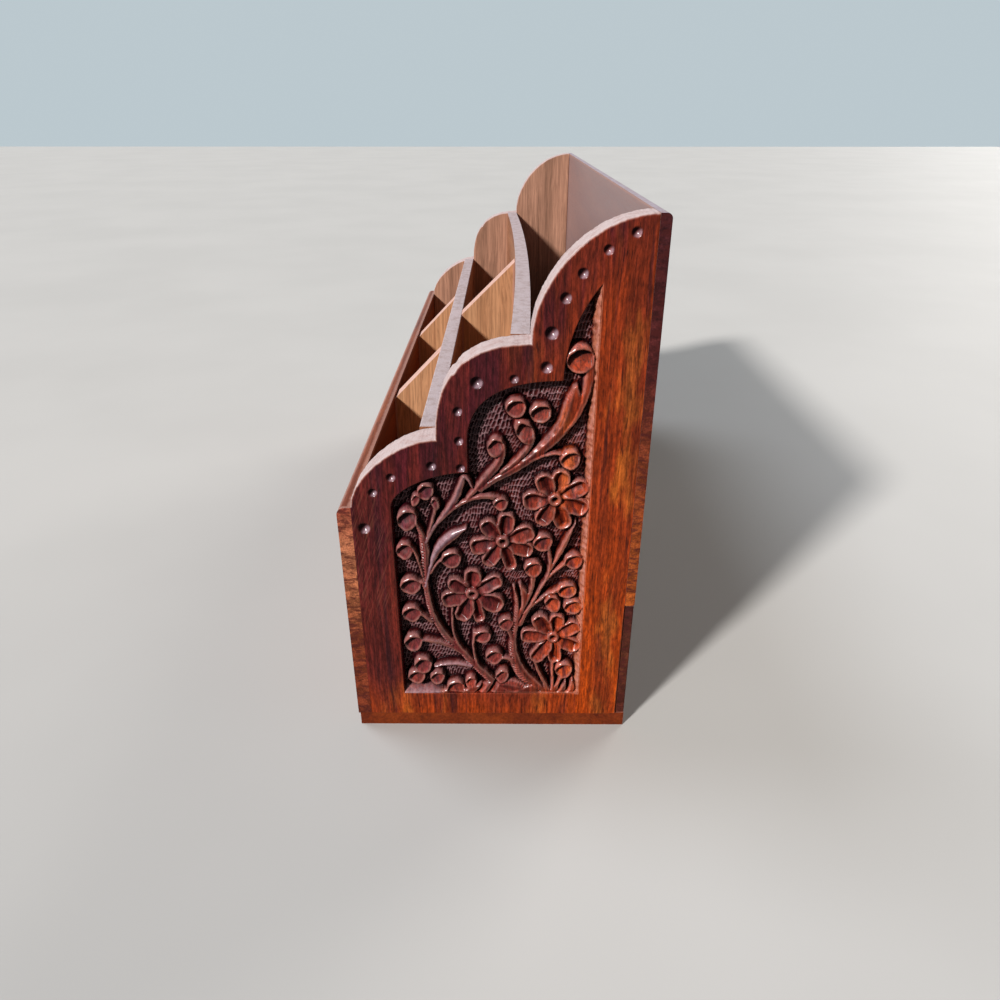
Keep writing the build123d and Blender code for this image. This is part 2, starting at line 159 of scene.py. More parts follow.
# Round buds, scooped out: place along Y and Z, two radii, turn in degrees and depth of the scoop.
BUDS = [
    (-21.1, 29.2, 2.55, 3.1, 10, 1.1), (-2.2, 31.3, 2.4, 2.4, 0, 1.1), (0.9, 24.4, 2.4, 2.65, 0, 1.2),
    (-9.9, 13.4, 2.6, 2.9, 0, 0.7), (-5.6, 15.3, 1.7, 2.6, 0, 1.3), (3.2, 17.7, 1.9, 2.7, 15, 1.3),
    (20.2, 19.9, 2.5, 2.9, -10, 1.2), (-20.9, 47.7, 2.85, 2.8, 0, 1.1), (-21.1, 38.8, 2.6, 2.75, 0, 1),
    (-10, 55.8, 2.65, 2.75, 0, 0.8), (-20.7, 67.5, 2.6, 3.4, 10, 1.1), (-21.9, 58.4, 2.25, 2.8, 0, 1.2),
    (13.4, 60.8, 2.5, 2.7, 20, 0.8), (11.1, 53, 2.4, 2.6, 0, 0.7), (4.1, 35.6, 2, 2.4, 15, 1),
    (21.4, 55.4, 2.4, 2.5, 0, 0.7), (2.7, 71.9, 1.9, 2, 0, 0.6), (19.4, 83.9, 2.5, 2.8, 0, 0.8),
    (1.4, 87.2, 2, 2.9, 10, 1.1), (20.5, 108.6, 3.2, 3.5, 0, 0.9), (-18.8, 21.5, 2.5, 3, -12, 1.2),
    (-20.8, 17.3, 2.45, 2.6, 0, 1.1), (-15, 17, 2.1, 2.6, 15, 1.2), (16.4, 42.3, 2.15, 3.1, -20, 1.2),
    (20.1, 46.3, 2.6, 2.5, 0, 1.1), (21.8, 41.2, 2.5, 2.5, 0, 0.9), (-15.7, 75.3, 2.1, 2.5, 0, 0.8),
    (-18.3, 73, 1.2, 2.1, 15, 0.5), (-13.5, 72, 1.1, 2, -20, 0.5), (6.2, 97, 2.45, 2.7, 0, 0.7),
    (12, 95.7, 2.6, 2.65, -30, 1.1), (8.3, 91.1, 2.2, 3.6, -25, 1.1),
]

# Flowers: the middle, then each petal's tip and half width.
FLOWERS = [
    ((16.9, 31), [(18.2, 38.3, 2.1), (23.7, 35.3, 2.1), (24, 27.4, 2.2), (17.8, 22.6, 1.9), (11.8, 23, 2.1),
     (8.2, 31.7, 2.2), (12.2, 37.8, 2.3)]),
    ((-4.7, 45), [(-4.4, 52.5, 2.3), (2.8, 49.9, 2.1), (3.2, 40.9, 2.8), (-2.6, 36.4, 1.6), (-8, 36.7, 2.3),
     (-12.8, 42.7, 2.4), (-10.8, 49, 2)]),
    ((3.3, 61), [(4.5, 69, 2.2), (-1.7, 66.7, 2.2), (-5, 59.1, 2.4), (-1, 54.1, 2.1), (5.7, 52.8, 1.7),
     (10.8, 58, 2.2), (11, 64.2, 2.4)]),
    ((16.1, 73), [(17.9, 80.8, 2.3), (23.8, 77.3, 2.2), (24.1, 70.3, 2.4), (18.9, 65.1, 2.3), (12.5, 66.1, 2.2),
     (8.2, 72.6, 2.5), (12.3, 79.5, 2.3)]),
]

# The two ends, right at +X and left at -X.
SIDES = {1: "right", -1: "left"}


def unit(value):
    """A value held between 0 and 1."""
    return np.clip(value, 0, 1)


def ramp(low, high, value):
    """0 at low, 1 at high, and an even S-shaped rise between them, held beyond both."""
    share = unit((value - low) / (high - low))
    return share * share * (3 - 2 * share)


def slope(run, value):
    """0 up to 0, then an even straight rise to 1 at the run, so that the edges stay crisp."""
    return unit(value / run)


def ripple(y, z, size, seed):
    """A smooth, uneven field between about -1 and 1: five crossing waves of about one size."""
    fifth, turn = 1.256, 6.283
    angles = np.arange(5) * fifth + seed
    waves = [
        np.sin((y * math.cos(a) + z * math.sin(a)) * turn / (size * (0.8 + 0.13 * k)) + 1.7 * k + seed)
        for k, a in enumerate(angles)
    ]
    return sum(waves) / 3.0


def lobe(start, end, fullness, rise=0.0, steps=120):
    """One scallop as a cubic curve: it leaves its start upright and reaches its end level, or at a rise."""
    run = end[0] - start[0]
    climb = end[1] - start[1]
    handles = np.array([
        start,
        (start[0], start[1] + fullness * climb),
        (end[0] - fullness * run, end[1] - rise * fullness * run),
        end,
    ])
    t = np.linspace(0, 1, steps + 1)[:, None]
    weights = np.hstack([(1 - t) ** 3, 3 * t * (1 - t) ** 2, 3 * t * t * (1 - t), t ** 3])
    return weights @ handles


def spread(points, count):
    """Evenly spaced points along a line of points. Its last point is left to the next stretch."""
    points = np.asarray(points, float)
    reach = np.r_[0, np.cumsum(np.hypot(*np.diff(points, axis=0).T))]
    wanted = np.linspace(0, reach[-1], count, endpoint=False)
    return np.column_stack([np.interp(wanted, reach, points[:, k]) for k in (0, 1)])


def corner_offsets(loop):
    """At each point of a closed loop, the way out of it, lengthened at corners so that both sides move evenly."""
    ahead = np.roll(loop, -1, axis=0) - loop
    ahead /= np.hypot(ahead[:, 0], ahead[:, 1])[:, None]
    side = np.column_stack([ahead[:, 1], -ahead[:, 0]])
    before = np.roll(side, 1, axis=0)
    return (side + before) / (1 + np.sum(side * before, axis=1))[:, None]


def field_curves():
    """The field's three scallops, from the low side up."""
    return (lobe(FIRST_START, FIRST_STEP, 0.47), lobe(SECOND_START, SECOND_STEP, 0.67),
            lobe(SECOND_STEP, TIP, 0.45, 1.2))


def end_loops():
    """The end board's outline and its field's outline, point for point, from the low corner round to the right."""
    counts = (30, 60, 32, 136, 140, 120, 46, 24)
    break_z = 58.0
    rear_foot, field_foot = (END_HIGH[1], END_LOW[2]), (FIELD_REAR, FIELD_BOTTOM)
    front_break, field_break = (END_LOW[1], break_z), (FIELD_FRONT, break_z)
    under_tip = (FIELD_REAR, TIP[1] - 6.0)
    ends = ((FRONT_TOP, FRONT_NOTCH), (FRONT_NOTCH, REAR_NOTCH), (REAR_NOTCH, REAR_TOP))
    low, middle, high = (lobe(*pair, fullness)[::-1] for pair, fullness in zip(ends, LOBE_FULLNESS))
    outer = [[END_LOW[1:], rear_foot], [rear_foot, REAR_TOP], high[:19], high[18:], middle, low,
             [FRONT_TOP, front_break], [front_break, END_LOW[1:]]]
    low, middle, high = (curve[::-1] for curve in field_curves())
    inner = [[(FIELD_FRONT, FIELD_BOTTOM), field_foot], [field_foot, under_tip], [under_tip, TIP], high,
             np.vstack([middle, [FIRST_STEP]]), low, [FIRST_START, field_break],
             [field_break, (FIELD_FRONT, FIELD_BOTTOM)]]
    loops = [np.vstack([spread(s, n) for s, n in zip(stretches, counts)]) for stretches in (outer, inner)]
    return *loops, np.repeat(np.arange(len(counts)), counts)


def field_left(z):
    """The field's left edge at a height: upright, then back along each scallop."""
    low, middle, high = field_curves()
    edge = np.vstack([[(FIELD_FRONT, FIELD_BOTTOM - 1), FIRST_START], low[1:], middle, high[1:]])
    return np.interp(z, edge[:, 1] + np.arange(len(edge)) * 1e-6, edge[:, 0])


def placed(name, data):
    """An object for a mesh, lamp or camera, in the scene."""
    made = bpy.data.objects.new(name, data)
    bpy.context.scene.collection.objects.link(made)
    return made


def put(side, label, points, quads, caps, marks):
    """A mesh for one end, mirrored for the left one, from points in millimetres, grids of quads and flat caps,
    with a mark per point for its material."""
    if side < 0:
        points, quads, caps = points * (-1, 1, 1), quads[:, ::-1], [cap[::-1] for cap in caps]
    mesh = bpy.data.meshes.new(SIDES[side] + label)
    mesh.from_pydata((points / MM).tolist(), [], quads.tolist() + [list(cap) for cap in caps])
    mesh.polygons.foreach_set("use_smooth", np.arange(len(mesh.polygons)) < len(quads))
    for mark, values in marks.items():
        layer = mesh.attributes.new(mark, "FLOAT", "POINT")
        layer.data.foreach_set("value", values.astype(np.float32))
    mesh.materials.append(carved_wood())
    piece = placed(SIDES[side] + label, mesh)
    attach(piece, "rack")
    return piece


def end_board(side, sizes):
    """One end board: rings of points run from the foot of the field's wall, over its rim, across the border to
    the outline, round the worn arris, through the board's thickness and onto its inner face. Each dimple is a
    bowl sunk into the border."""
    outer, inner, part = end_loops()
    out_way, in_way = corner_offsets(outer), corner_offsets(inner)
    out_way[np.argmax(part == 2), 0] *= 0.2
    scalloped = np.isin(part, (2, 3, 4, 5)).astype(float)
    by_drawer = ((part == 1) & (outer[:, 1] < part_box("drawer_face")[1].z * MM)).astype(float)
    arris = (PLAIN_ARRIS + (sizes.arris * MM - PLAIN_ARRIS) * scalloped + 0.25 * by_drawer)[:, None]
    chip = np.exp(-np.sum(((outer - CHIP) / CHIP_SIZE) ** 2, axis=1))
    worn = 0.05 * ripple(*outer.T, 3.1, 0.4) + 0.04 * ripple(*outer.T, 0.9, 2.0)
    outer = outer - out_way * (scalloped * (0.07 + worn) + 0.35 * chip)[:, None]
    thickness = END_HIGH[0] - END_LOW[0]
    rim = sizes.rim * MM
    depth = sizes.field_depth * MM
    inner_arris = 0.3
    wall_steps, border_steps, thickness_steps = 6, 54, 8
    rings = []

    def ring(loop, down, **marks):
        rings.append((loop, np.broadcast_to(down, len(loop)), marks))

    for t in np.linspace(0, 1, wall_steps):
        wave = 0.1 * ripple(*inner.T, 2.6, 1.0 + t)[:, None] * (1 - t)
        low = (depth + 0.85) * (1 - t) + rim * t
        ring(inner - in_way * (0.4 * (1 - t) + wave), low, sunk=min(1.0, low / depth))
    for a in np.radians((30, 60, 90)):
        # Real wear round the field's rim, most along its right edge.
        rub_wear_and_painted_light = np.where(np.isin(part, (1, 2)), 0.8, 0.15) * math.sin(2 * a)
        ring(inner + in_way * rim * (1 - math.cos(a)), rim * (1 - math.sin(a)), worn=rub_wear_and_painted_light)
    start = inner + in_way * rim
    stop = outer - out_way * arris
    for t in np.linspace(0, 1, border_steps)[1:-1]:
        loop = start + (stop - start) * t
        sunk = 0.02 * ripple(*loop.T, 9.0, 0.0)
        shade, shine = np.zeros((2, len(loop)))
        for y, z, radius in DIMPLES:
            off = (loop - (y, z)) / (DIMPLE_SPREAD * radius)
            inside = unit(1 - np.hypot(*off.T) ** 1.5)
            sunk = sunk + sizes.dimple_depth * MM * DIMPLE_SPREAD * radius * inside
            # A dimple's side away from the light is painted dark as shade, and its lit side is glossed and painted
            # pale as a highlight.
            lit = off @ DIMPLE_LIT
            shade = shade + unit(inside * 4) * unit(0.55 - 1.8 * lit)
            shine = shine + unit(inside * 4) * unit(0.35 + 1.5 * lit)
        ring(loop, sunk * ramp(0, 0.04, min(t, 1 - t)), grime=1.1 * shade, gloss=shine, bloom=0.9 * shine ** 2)
    for a in np.radians((0, 22, 45, 68, 90)):
        ring(outer - out_way * arris * (1 - math.sin(a)), (arris * (1 - math.cos(a)))[:, 0],
             worn=0.8 * (scalloped + by_drawer) * math.sin(a), sawn=scalloped * ramp(30, 62, math.degrees(a)))
    for t in np.linspace(0, 1, thickness_steps)[1:-1]:
        rough = (scalloped * 0.05 * ripple(outer[:, 0] + 7 * t, outer[:, 1], 0.8, 5 * t))[:, None]
        ring(outer + out_way * rough, thickness * t, sawn=scalloped)
    for a in np.radians((0, 45, 90)):
        ring(outer - out_way * inner_arris * (1 - math.cos(a)), thickness - inner_arris + inner_arris * math.sin(a),
             worn=scalloped * 0.7, sawn=scalloped * (1 - math.sin(a)), inside=math.sin(a))
    count = len(outer)
    loops, down, given = zip(*rings)
    points = np.column_stack([END_HIGH[0] - np.concatenate(down), np.vstack(loops)])
    j, i = np.meshgrid(np.arange(len(rings) - 1), np.arange(count), indexing="ij")
    ahead = (i + 1) % count
    quads = np.stack([j * count + i, (j + 1) * count + i, (j + 1) * count + ahead, j * count + ahead], -1)
    last = (len(rings) - 1) * count + np.arange(count)
    marks = {
        name: np.concatenate([np.broadcast_to(m.get(name, 0.0), count) for m in given]) for name in MARKS
    }
    piece = put(side, "_end_board", points, quads.reshape(-1, 4), [np.arange(count), last[::-1]], marks)
    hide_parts(SIDES[side] + "_end_panel")


def curve_through(points, steps=5):
    """A smooth line through the points: each stretch is a cubic set by its four nearest points."""
    p = np.asarray(points, float)
    p = np.vstack([2 * p[0] - p[1], p, 2 * p[-1] - p[-2]])
    t = np.arange(steps)[None, :, None] / steps
    a, b, c, d = (p[k:len(p) - 3 + k, None, :] for k in range(4))
    line = b + 0.5 * t * (c - a + t * (2 * a - 5 * b + 4 * c - d + t * (3 * (b - c) + d - a)))
    return np.vstack([line.reshape(-1, p.shape[1]), p[-2]])


def patch(field, low, high):
    """The part of the field's grid between two corners: its slices and its places along Y and Z."""
    rows = slice(*np.searchsorted(field["z"], (low[1], high[1])))
    columns = slice(*np.searchsorted(field["y"], (low[0], high[0])))
    y, z = np.meshgrid(field["y"][columns], field["z"][rows])
    warp = 0.07
    y, z = y + warp * ripple(y, z, 2.2, 0.3), z + warp * ripple(y, z, 2.4, 4.1)
    return (rows, columns), y, z


def lay(field, place, surface, cover):
    """A motif cut over what lies under it: an evened ground rises to the motif's surface where it is covered."""
    ground = field["h"][place]
    level = np.where(cover > 0, np.maximum(ground, field["floor"]), ground)
    field["h"][place] = level + (surface - level) * cover


def add_stem(field, stem, sizes, stroked, leaf_sheen):
    """A stem or leaf along a smooth line, as wide as its points say: a ridge runs along it near its upper left
    side, which falls away gently, and its lower right side is steep. A stroked one falls away on the left of its
    run instead, and is notched across from the ridge down."""
    path = curve_through(np.reshape(stem, (-1, 3)))
    reach = path[:, 2].max() + 1.6
    place, y, z = patch(field, path[:, :2].min(0) - reach, path[:, :2].max(0) + reach)
    nearest = np.full((4, *y.shape), 9.0)
    passed = 0.0
    for (ay, az, aw), (by, bz, bw) in zip(path[:-1], path[1:]):
        length = max(math.hypot(by - ay, bz - az), 1e-6)
        t = unit(((y - ay) * (by - ay) + (z - az) * (bz - az)) / length ** 2)
        w = aw + (bw - aw) * t
        off_y, off_z = y - ay - t * (by - ay), z - az - t * (bz - az)
        way = ((az - bz) / length, (by - ay) / length) if stroked else UP_LEFT
        leaning = -(off_y * way[0] + off_z * way[1]) / w
        here = np.array([np.hypot(off_y, off_z) / w, w, leaning, passed + t * length])
        nearest = np.where(here[0] < nearest[0], here, nearest)
        passed += length
    share, width, lean, along = nearest
    upper = unit(-lean)
    ridge_line = -0.1 if stroked else 0.2
    fall = 0.4 if stroked else 0.85
    drop = fall * width * unit(-lean - ridge_line) + 0.2 * width * np.clip(lean + ridge_line, 0, 1.2)
    if stroked:
        drop = drop + 0.5 * ramp(-0.05, 0.2, -lean) * (0.5 + 0.5 * np.sin(along * 7.6 + 2.5 * lean))
    run = 0.28 + 0.5 * upper
    cover = slope(run, width * (1 - share) + 0.14 + 0.3 * upper)
    floor = -sizes.field_depth * MM
    ridge = floor + (-sizes.stem_level * MM - drop - floor) * cover
    field["h"][place] = np.where(cover > 0, np.maximum(field["h"][place], ridge), field["h"][place])
    # Painted sheen on the leaves that have it: a pale reflection laid over the leaf's face.
    field["leaf_sheen"][place] = np.maximum(field["leaf_sheen"][place], leaf_sheen * ramp(0.6, 1.0, cover) * ramp(0.5, -0.2, lean))


def thumb_cut(inside, lower, depth, steep=2.6):
    """A thumbnail cut: a steep wall inside the rim, and a ramp that rises from its foot to the lower right rim.
    The lesser of the wall's depth and the ramp's depth holds at each point."""
    return np.clip(np.minimum(steep * inside, depth * lower), 0, 9)


def add_bud(field, bud, sizes):
    """A round bud: an oval disc with a thumbnail cut inside its rim and a side that is gentle at the upper left."""
    by, bz, ry, rz, turn, scoop = bud
    reach = max(ry, rz) + 1.4
    place, y, z = patch(field, (by - reach, bz - reach), (by + reach, bz + reach))
    c, s = math.cos(math.radians(turn)), math.sin(math.radians(turn))
    share = np.hypot(((y - by) * c - (z - bz) * s) / ry, ((y - by) * s + (z - bz) * c) / rz)
    radius = min(ry, rz)
    toward = ((y - by) * CUT_WAY[0] + (z - bz) * CUT_WAY[1]) / radius
    upper = unit(toward / np.maximum(share, 0.2))
    inner = 0.99 - 0.36 * upper
    bowl = thumb_cut((inner - share) * radius, (toward + 0.98) * 0.5, sizes.scoop * (0.75 + 0.5 * scoop) * radius)
    lip = 0.95 * unit((share - inner) / 0.36) ** 1.6 * upper
    cover = slope(0.3 + 0.2 * upper, (1.02 - share) * radius + 0.1 + 0.1 * upper)
    lay(field, place, -sizes.petal_level * MM - bowl - lip, cover)


def add_petal(field, middle, petal, sizes):
    """A petal: narrow at the flower's middle and round at its tip. A valley runs along it, nearer to its upper
    left side, so that this side is steep and the other one a broad ramp."""
    axis = np.array(petal[:2]) - middle
    length = np.hypot(*axis) + 0.15
    axis = axis / np.hypot(*axis)
    low = np.minimum(middle, petal[:2]) - petal[2] - 1.0
    high = np.maximum(middle, petal[:2]) + petal[2] + 1.0
    place, y, z = patch(field, low, high)
    reach = (y - middle[0]) * axis[0] + (z - middle[1]) * axis[1]
    across = (z - middle[1]) * axis[0] - (y - middle[0]) * axis[1]
    facing = np.clip(1.6 * (axis[0] * UP_LEFT[1] - axis[1] * UP_LEFT[0]), -1, 1)
    shoulder = length - 1.05 * petal[2]
    end = unit((reach - shoulder) / (length - shoulder))
    half = np.minimum(0.3 + 0.5 * reach, petal[2] + 0.12) * unit(1 - end ** 2.3) ** 0.46
    inside = np.minimum(np.minimum(half - np.abs(across), 1.2 * (length - reach)), reach - 1.3)
    line = 0.26 * facing * half
    steep_side = (across - line) * facing > 0
    room = np.maximum(np.where(steep_side, 0.84, 1.0) * half - np.abs(line) * np.where(steep_side, 1, -1), 0.15)
    valley = sizes.valley * MM * unit(1 - np.abs(across - line) / room)
    valley = valley * slope(1.2, length - reach - 0.1) * unit(half / petal[2])
    off = np.stack([y - middle[0], z - middle[1]]) - axis[:, None, None] * np.clip(reach, 0, shoulder)
    toward = (off[0] * UP_LEFT[0] + off[1] * UP_LEFT[1]) / np.maximum(np.hypot(*off), 0.3)
    upper = unit(toward)
    lip = 0.8 * slope(0.85, 0.85 - inside) ** 1.6 * upper
    surface = -sizes.petal_level * MM - valley - lip - 0.45 * ramp(3.4, 1.5, reach)
    lay(field, place, surface, slope(0.28 + 0.15 * upper, inside + 0.08 + 0.08 * upper))


def add_flower(field, flower, sizes):
    """A flower: its petals, then a round boss with a drilled eye."""
    middle, petals = flower
    for petal in petals:
        add_petal(field, np.array(middle), petal, sizes)
    place, y, z = patch(field, (middle[0] - 3, middle[1] - 3), (middle[0] + 3, middle[1] + 3))
    share = np.hypot(y - middle[0], z - middle[1])
    surface = -0.3 - 0.7 * unit(np.abs(share - 1.25) / 0.75) ** 2 - 1.3 * ramp(0.85, 0.35, share)
    lay(field, place, surface, ramp(0, sizes.wall * MM, 2.0 - share))


def add_foot(field, sizes):
    """Along the middle of the field's bottom the wood is left standing: it rises to the border's level there, and
    leaning V cuts part it, each with a steep left flank and a gentle right one."""
    place, y, z = patch(field, (-14.5, FIELD_BOTTOM - 1), (14.5, 18.5))
    top = 13.2 + 1.2 * ripple(y, z * 0, 7.0, 1.1) + 2.2 * ramp(-8, -3, y) * ramp(3, -1, y)
    cover = ramp(-0.3, 0.5, top - z) * ramp(-13.8, -13.0, y) * ramp(14.2, 12.6, y)
    lay(field, place, np.full(y.shape, -0.3), cover)
    for (ay, az), (by, bz), width in FOOT_CUTS:
        t = unit((z - az) / (bz - az))
        off = y - ay - (by - ay) * t
        run = np.where(off < 0, 0.35 * width, width)
        within = ramp(0, 0.6, z - min(az, bz)) * ramp(0, 0.6, max(az, bz) - z)
        field["h"][place] -= 1.5 * unit(1 - np.abs(off) / run) * within


def scattered(value):
    """A value between 0 and 1 that jumps about as the given one changes."""
    far = np.sin(value) * 43758.5453
    return far - np.floor(far)


def punched_floor(y, z, sizes):
    """The field's floor: uneven, fluted all over by short leaning gouge strokes in loose rows, each deeper at its
    upper end, and sloping up to the face along the field's bottom and rear edges."""
    pitch, row_height, lean = 0.8, 1.7, 0.34
    flutes = (y - lean * z + 0.55 * ripple(y, z, 9.0, 3.0) + 0.5 * ripple(y, z, 27.0, 2.2)) / pitch
    flute = np.floor(flutes)
    rows = (z + 0.5 * ripple(y, z, 11.0, 0.7)) / row_height + 0.6 * scattered(flute * 78.233)
    row = np.floor(rows)
    jitter = scattered(row * 12.9898 + flute * 78.233)
    across = 2 * (flutes - flute - 0.5)
    along = 2 * (rows - row - 0.5)
    dent = unit(1 - across ** 2) * unit(1 - along ** 4) * (0.75 + 0.3 * along)
    floor = -sizes.field_depth * MM + 0.14 * ripple(y, z, 7.5, 1.9) + FLOOR_RISE
    floor = floor - sizes.punch_depth * MM * (0.6 + 0.65 * jitter) * dent
    ragged = 0.18 * ripple(y, z, 1.9, 0.5)
    bottom_slope = 2.7 * unit(1 - (z - FIELD_BOTTOM) / (0.7 + 1.5 * ramp(-14, -17, y)))
    rear_slope = 2.6 * unit(1 - (FIELD_REAR - y + ragged) / 1.35)
    cut = np.maximum(bottom_slope, rear_slope)
    floor = floor + sizes.punch_depth * MM * 0.8 * dent * unit(cut)
    return floor + cut, unit(np.maximum(rear_slope * 1.6, bottom_slope * 0.35))


def blurred(values, steps):
    """Each value replaced by the mean of the square of values round it."""
    size = 2 * steps + 1
    for _ in range(2):
        total = np.cumsum(np.pad(values, ((steps + 1, steps), (0, 0)), mode="edge"), 0)
        values = ((total[size:] - total[:-size]) / size).T
    return values


def carved_heights(sizes):
    """The sunk field as a height over an even grid: the punched floor, then stems, buds and flowers over it."""
    step = sizes.grid_step * MM
    y = np.arange(FIELD_FRONT - FIELD_MARGIN, FIELD_REAR + FIELD_MARGIN + step, step)
    z = np.arange(FIELD_BOTTOM - FIELD_MARGIN, TIP[1] + FIELD_MARGIN, step)
    flat_y, flat_z = np.meshgrid(y, z)
    ground, bare = punched_floor(flat_y, flat_z, sizes)
    field = {"y": y, "z": z, "h": ground.copy(), "leaf_sheen": ground * 0, "floor": FLOOR_RISE - sizes.field_depth * MM}
    for number, stem in enumerate(STEMS):
        add_stem(field, stem, sizes, number in STROKED, SHEENED_LEAVES.get(number, 0.0))
    add_foot(field, sizes)
    for bud in BUDS:
        add_bud(field, bud, sizes)
    for flower in FLOWERS:
        add_flower(field, flower, sizes)
    field["bare"] = bare * unit(1 - 4 * np.abs(field["h"] - ground))
    outside = (flat_y < field_left(flat_z)) | (flat_y > FIELD_REAR) | (flat_z < FIELD_BOTTOM)
    field["h"] = np.minimum(field["h"], np.where(outside, -0.9, -0.04))
    return field


def carved_field(side, field, sizes):
    """The carving in an end board: the heights as a sheet whose left edge follows the field's, closed by a
    narrow wall all round and a flat back."""
    y, z, heights = field["y"], field["z"], field["h"]
    rows, columns = heights.shape
    left = np.minimum.accumulate((field_left(z - FIELD_MARGIN) - FIELD_MARGIN)[::-1])[::-1]
    first = np.clip(np.searchsorted(y, left) - 1, 0, columns - 3)
    first[0] = first[1] = 0
    kept = np.arange(columns)[None, :] >= first[:, None]
    number = np.cumsum(kept.ravel()).reshape(kept.shape) - 1
    flat_y, flat_z = np.meshgrid(y, z)
    sheet = np.column_stack([END_HIGH[0] + heights[kept], flat_y[kept], flat_z[kept]])
    whole = kept[:-1, :-1] & kept[1:, :-1]
    quads = np.stack([number[:-1, :-1], number[:-1, 1:], number[1:, 1:], number[1:, :-1]], -1)[whole]
    rim = [number[0, first[0]:columns - 1], number[:rows - 1, columns - 1], number[rows - 1, first[-1] + 1:][::-1]]
    for r in range(rows - 1, 0, -1):
        rim += [number[r, first[r]:first[r] + 1], number[r - 1, first[r - 1] + 1:first[r] + 1][::-1]]
    rim = np.concatenate(rim)
    back = sheet[rim].copy()
    back[:, 0] = END_HIGH[0] - sizes.field_depth * MM - BACK_DEPTH
    below = len(sheet) + np.arange(len(rim))
    wall = np.column_stack([rim, below, np.roll(below, -1), np.roll(rim, -1)])
    # Measures of the carving's shape that paint its light and shade: crests and creases, hollows below the nearby
    # surface, slopes facing towards the light along UP_LEFT or away from it, and steep walls.
    crest = np.clip((heights - blurred(heights, 3)) * 2.2, -1, 1)
    hollow = unit((blurred(blurred(heights, 7), 5) - heights) * 0.6)
    rise_z, rise_y = np.gradient(heights, z, y)
    toward = -(rise_y * UP_LEFT[0] + rise_z * UP_LEFT[1])
    bare = field["bare"]
    raised = slope(0.8, heights + 2.3)
    steep = unit(np.hypot(rise_y, rise_z) * 0.4 - 0.9) * unit((-0.8 - heights) * 1.2)
    away = 0.6 * raised * unit(-toward - 0.1)
    bloom = 0.3 * unit(toward * 0.6) * unit(crest * 2.5) * (1 - hollow)
    bloom = np.maximum(bloom, 0.9 * unit(crest * 1.6) * (1 - raised) * (1 - hollow))
    bloom = np.maximum(np.maximum(bloom, 0.85 * bare * ramp(-13.0, -15.0, flat_y)), field["leaf_sheen"])
    # Crests are lightened as real wear and as painted highlight, raised slopes facing the light as painted
    # highlight, and the bare slopes away from the low front corner as bare wood. Painted shade darkens creases,
    # hollows, steep walls and raised slopes facing away from the light. Painted sheen lies on lit crests, the
    # floor's ridges, the bare slope at the low front corner and the sheened leaves, and painted light brightens
    # raised slopes facing the light.
    marks = {
        "worn": (1.5 - 0.8 * raised) * unit(crest) + 0.15 * raised * unit(toward)
                + 1.6 * bare * ramp(-15, -13, flat_y),
        "sunk": unit(-heights / (sizes.field_depth * MM)),
        "grime": np.maximum(0.8 * unit(-crest) + hollow + away, 0.9 * steep) * (1 - bare),
        "gloss": unit(np.maximum(crest * 1.5, toward * 0.5 - 0.35)) * (1 - bare) * raised,
        "bloom": bloom,
        "rub_wear_and_painted_light": raised * unit(1.3 * toward) * (1 - bare),
    }
    nothing = np.zeros(heights.shape)
    marks = {
        name: np.r_[marks.get(name, nothing)[kept], np.full(len(rim), float(name == "sunk"))] for name in MARKS
    }
    put(side, "_carving", np.vstack([sheet, back]), np.vstack([quads, wall]), [below[::-1]], marks)


class Wire:
    """A shader node's output, from which further nodes are made: a sum, a mask, a texture or a colour."""

    def __init__(self, socket):
        self.socket = socket
        self.tree = socket.id_data

    def then(self, kind, *values, **sockets):
        """The first output of a new node in the same tree."""
        return Wire(node(self.tree, kind, *values, **sockets).outputs[0])

    def math(self, operation, *values, clamp=False):
        """The result of a Math node on this and the values."""
        return self.then("Math", self, *values, settings={"operation": operation, "use_clamp": clamp})

    def __mul__(self, factor):
        return self.math("MULTIPLY", factor)

    def plus(self, factor, value, clamp=False):
        """This times a factor, plus a value."""
        return self.math("MULTIPLY_ADD", factor, value, clamp=clamp)

    def most(self, value, clamp=False):
        return self.math("MAXIMUM", value, clamp=clamp)

    def vector(self, operation, *values):
        """The result of a Vector Math node on this and the values."""
        return self.then("VectorMath", self, *values, settings={"operation": operation})

    def stretched(self, *factors):
        return self.vector("MULTIPLY", factors)

    def parts(self):
        """This vector's X, Y and Z."""
        return outputs(node(self.tree, "SeparateXYZ", self)).values()

    def rise(self, low, high, bottom=0.0, top=1.0):
        """This turned into an even S-shaped rise between two levels."""
        even = {"interpolation_type": "SMOOTHSTEP"}
        return self.then("MapRange", self, low, high, bottom, top, settings=even)

    def cloud(self, scale, detail=2.0, roughness=0.55):
        return self.then("TexNoise", Vector=self, Scale=scale, Detail=detail, Roughness=roughness)

    def tinted(self, tint):
        """This colour times another."""
        return mixed(1.0, self, tint, "MULTIPLY")

    def lit(self, light):
        """This colour times a brightness."""
        return self.tinted(self.then("CombineColor", light, light, light))

    def bump(self, strength, distance):
        """The normal of a surface with this height."""
        return self.then("Bump", Strength=strength, Distance=distance, Height=self)


def outputs(made):
    """A node's outputs by name."""
    return {socket.name: Wire(socket) for socket in made.outputs}


def feed(made, sockets):
    """Inputs of a node, by place or name, each linked to an output or set to a value. A colour needs no alpha."""
    for place, value in sockets.items():
        socket = made.inputs[place.replace("_", " ") if isinstance(place, str) else place]
        if isinstance(value, Wire):
            made.id_data.links.new(value.socket, socket)
        elif socket.type == "RGBA":
            socket.default_value = (*value, 1.0)
        else:
            socket.default_value = value


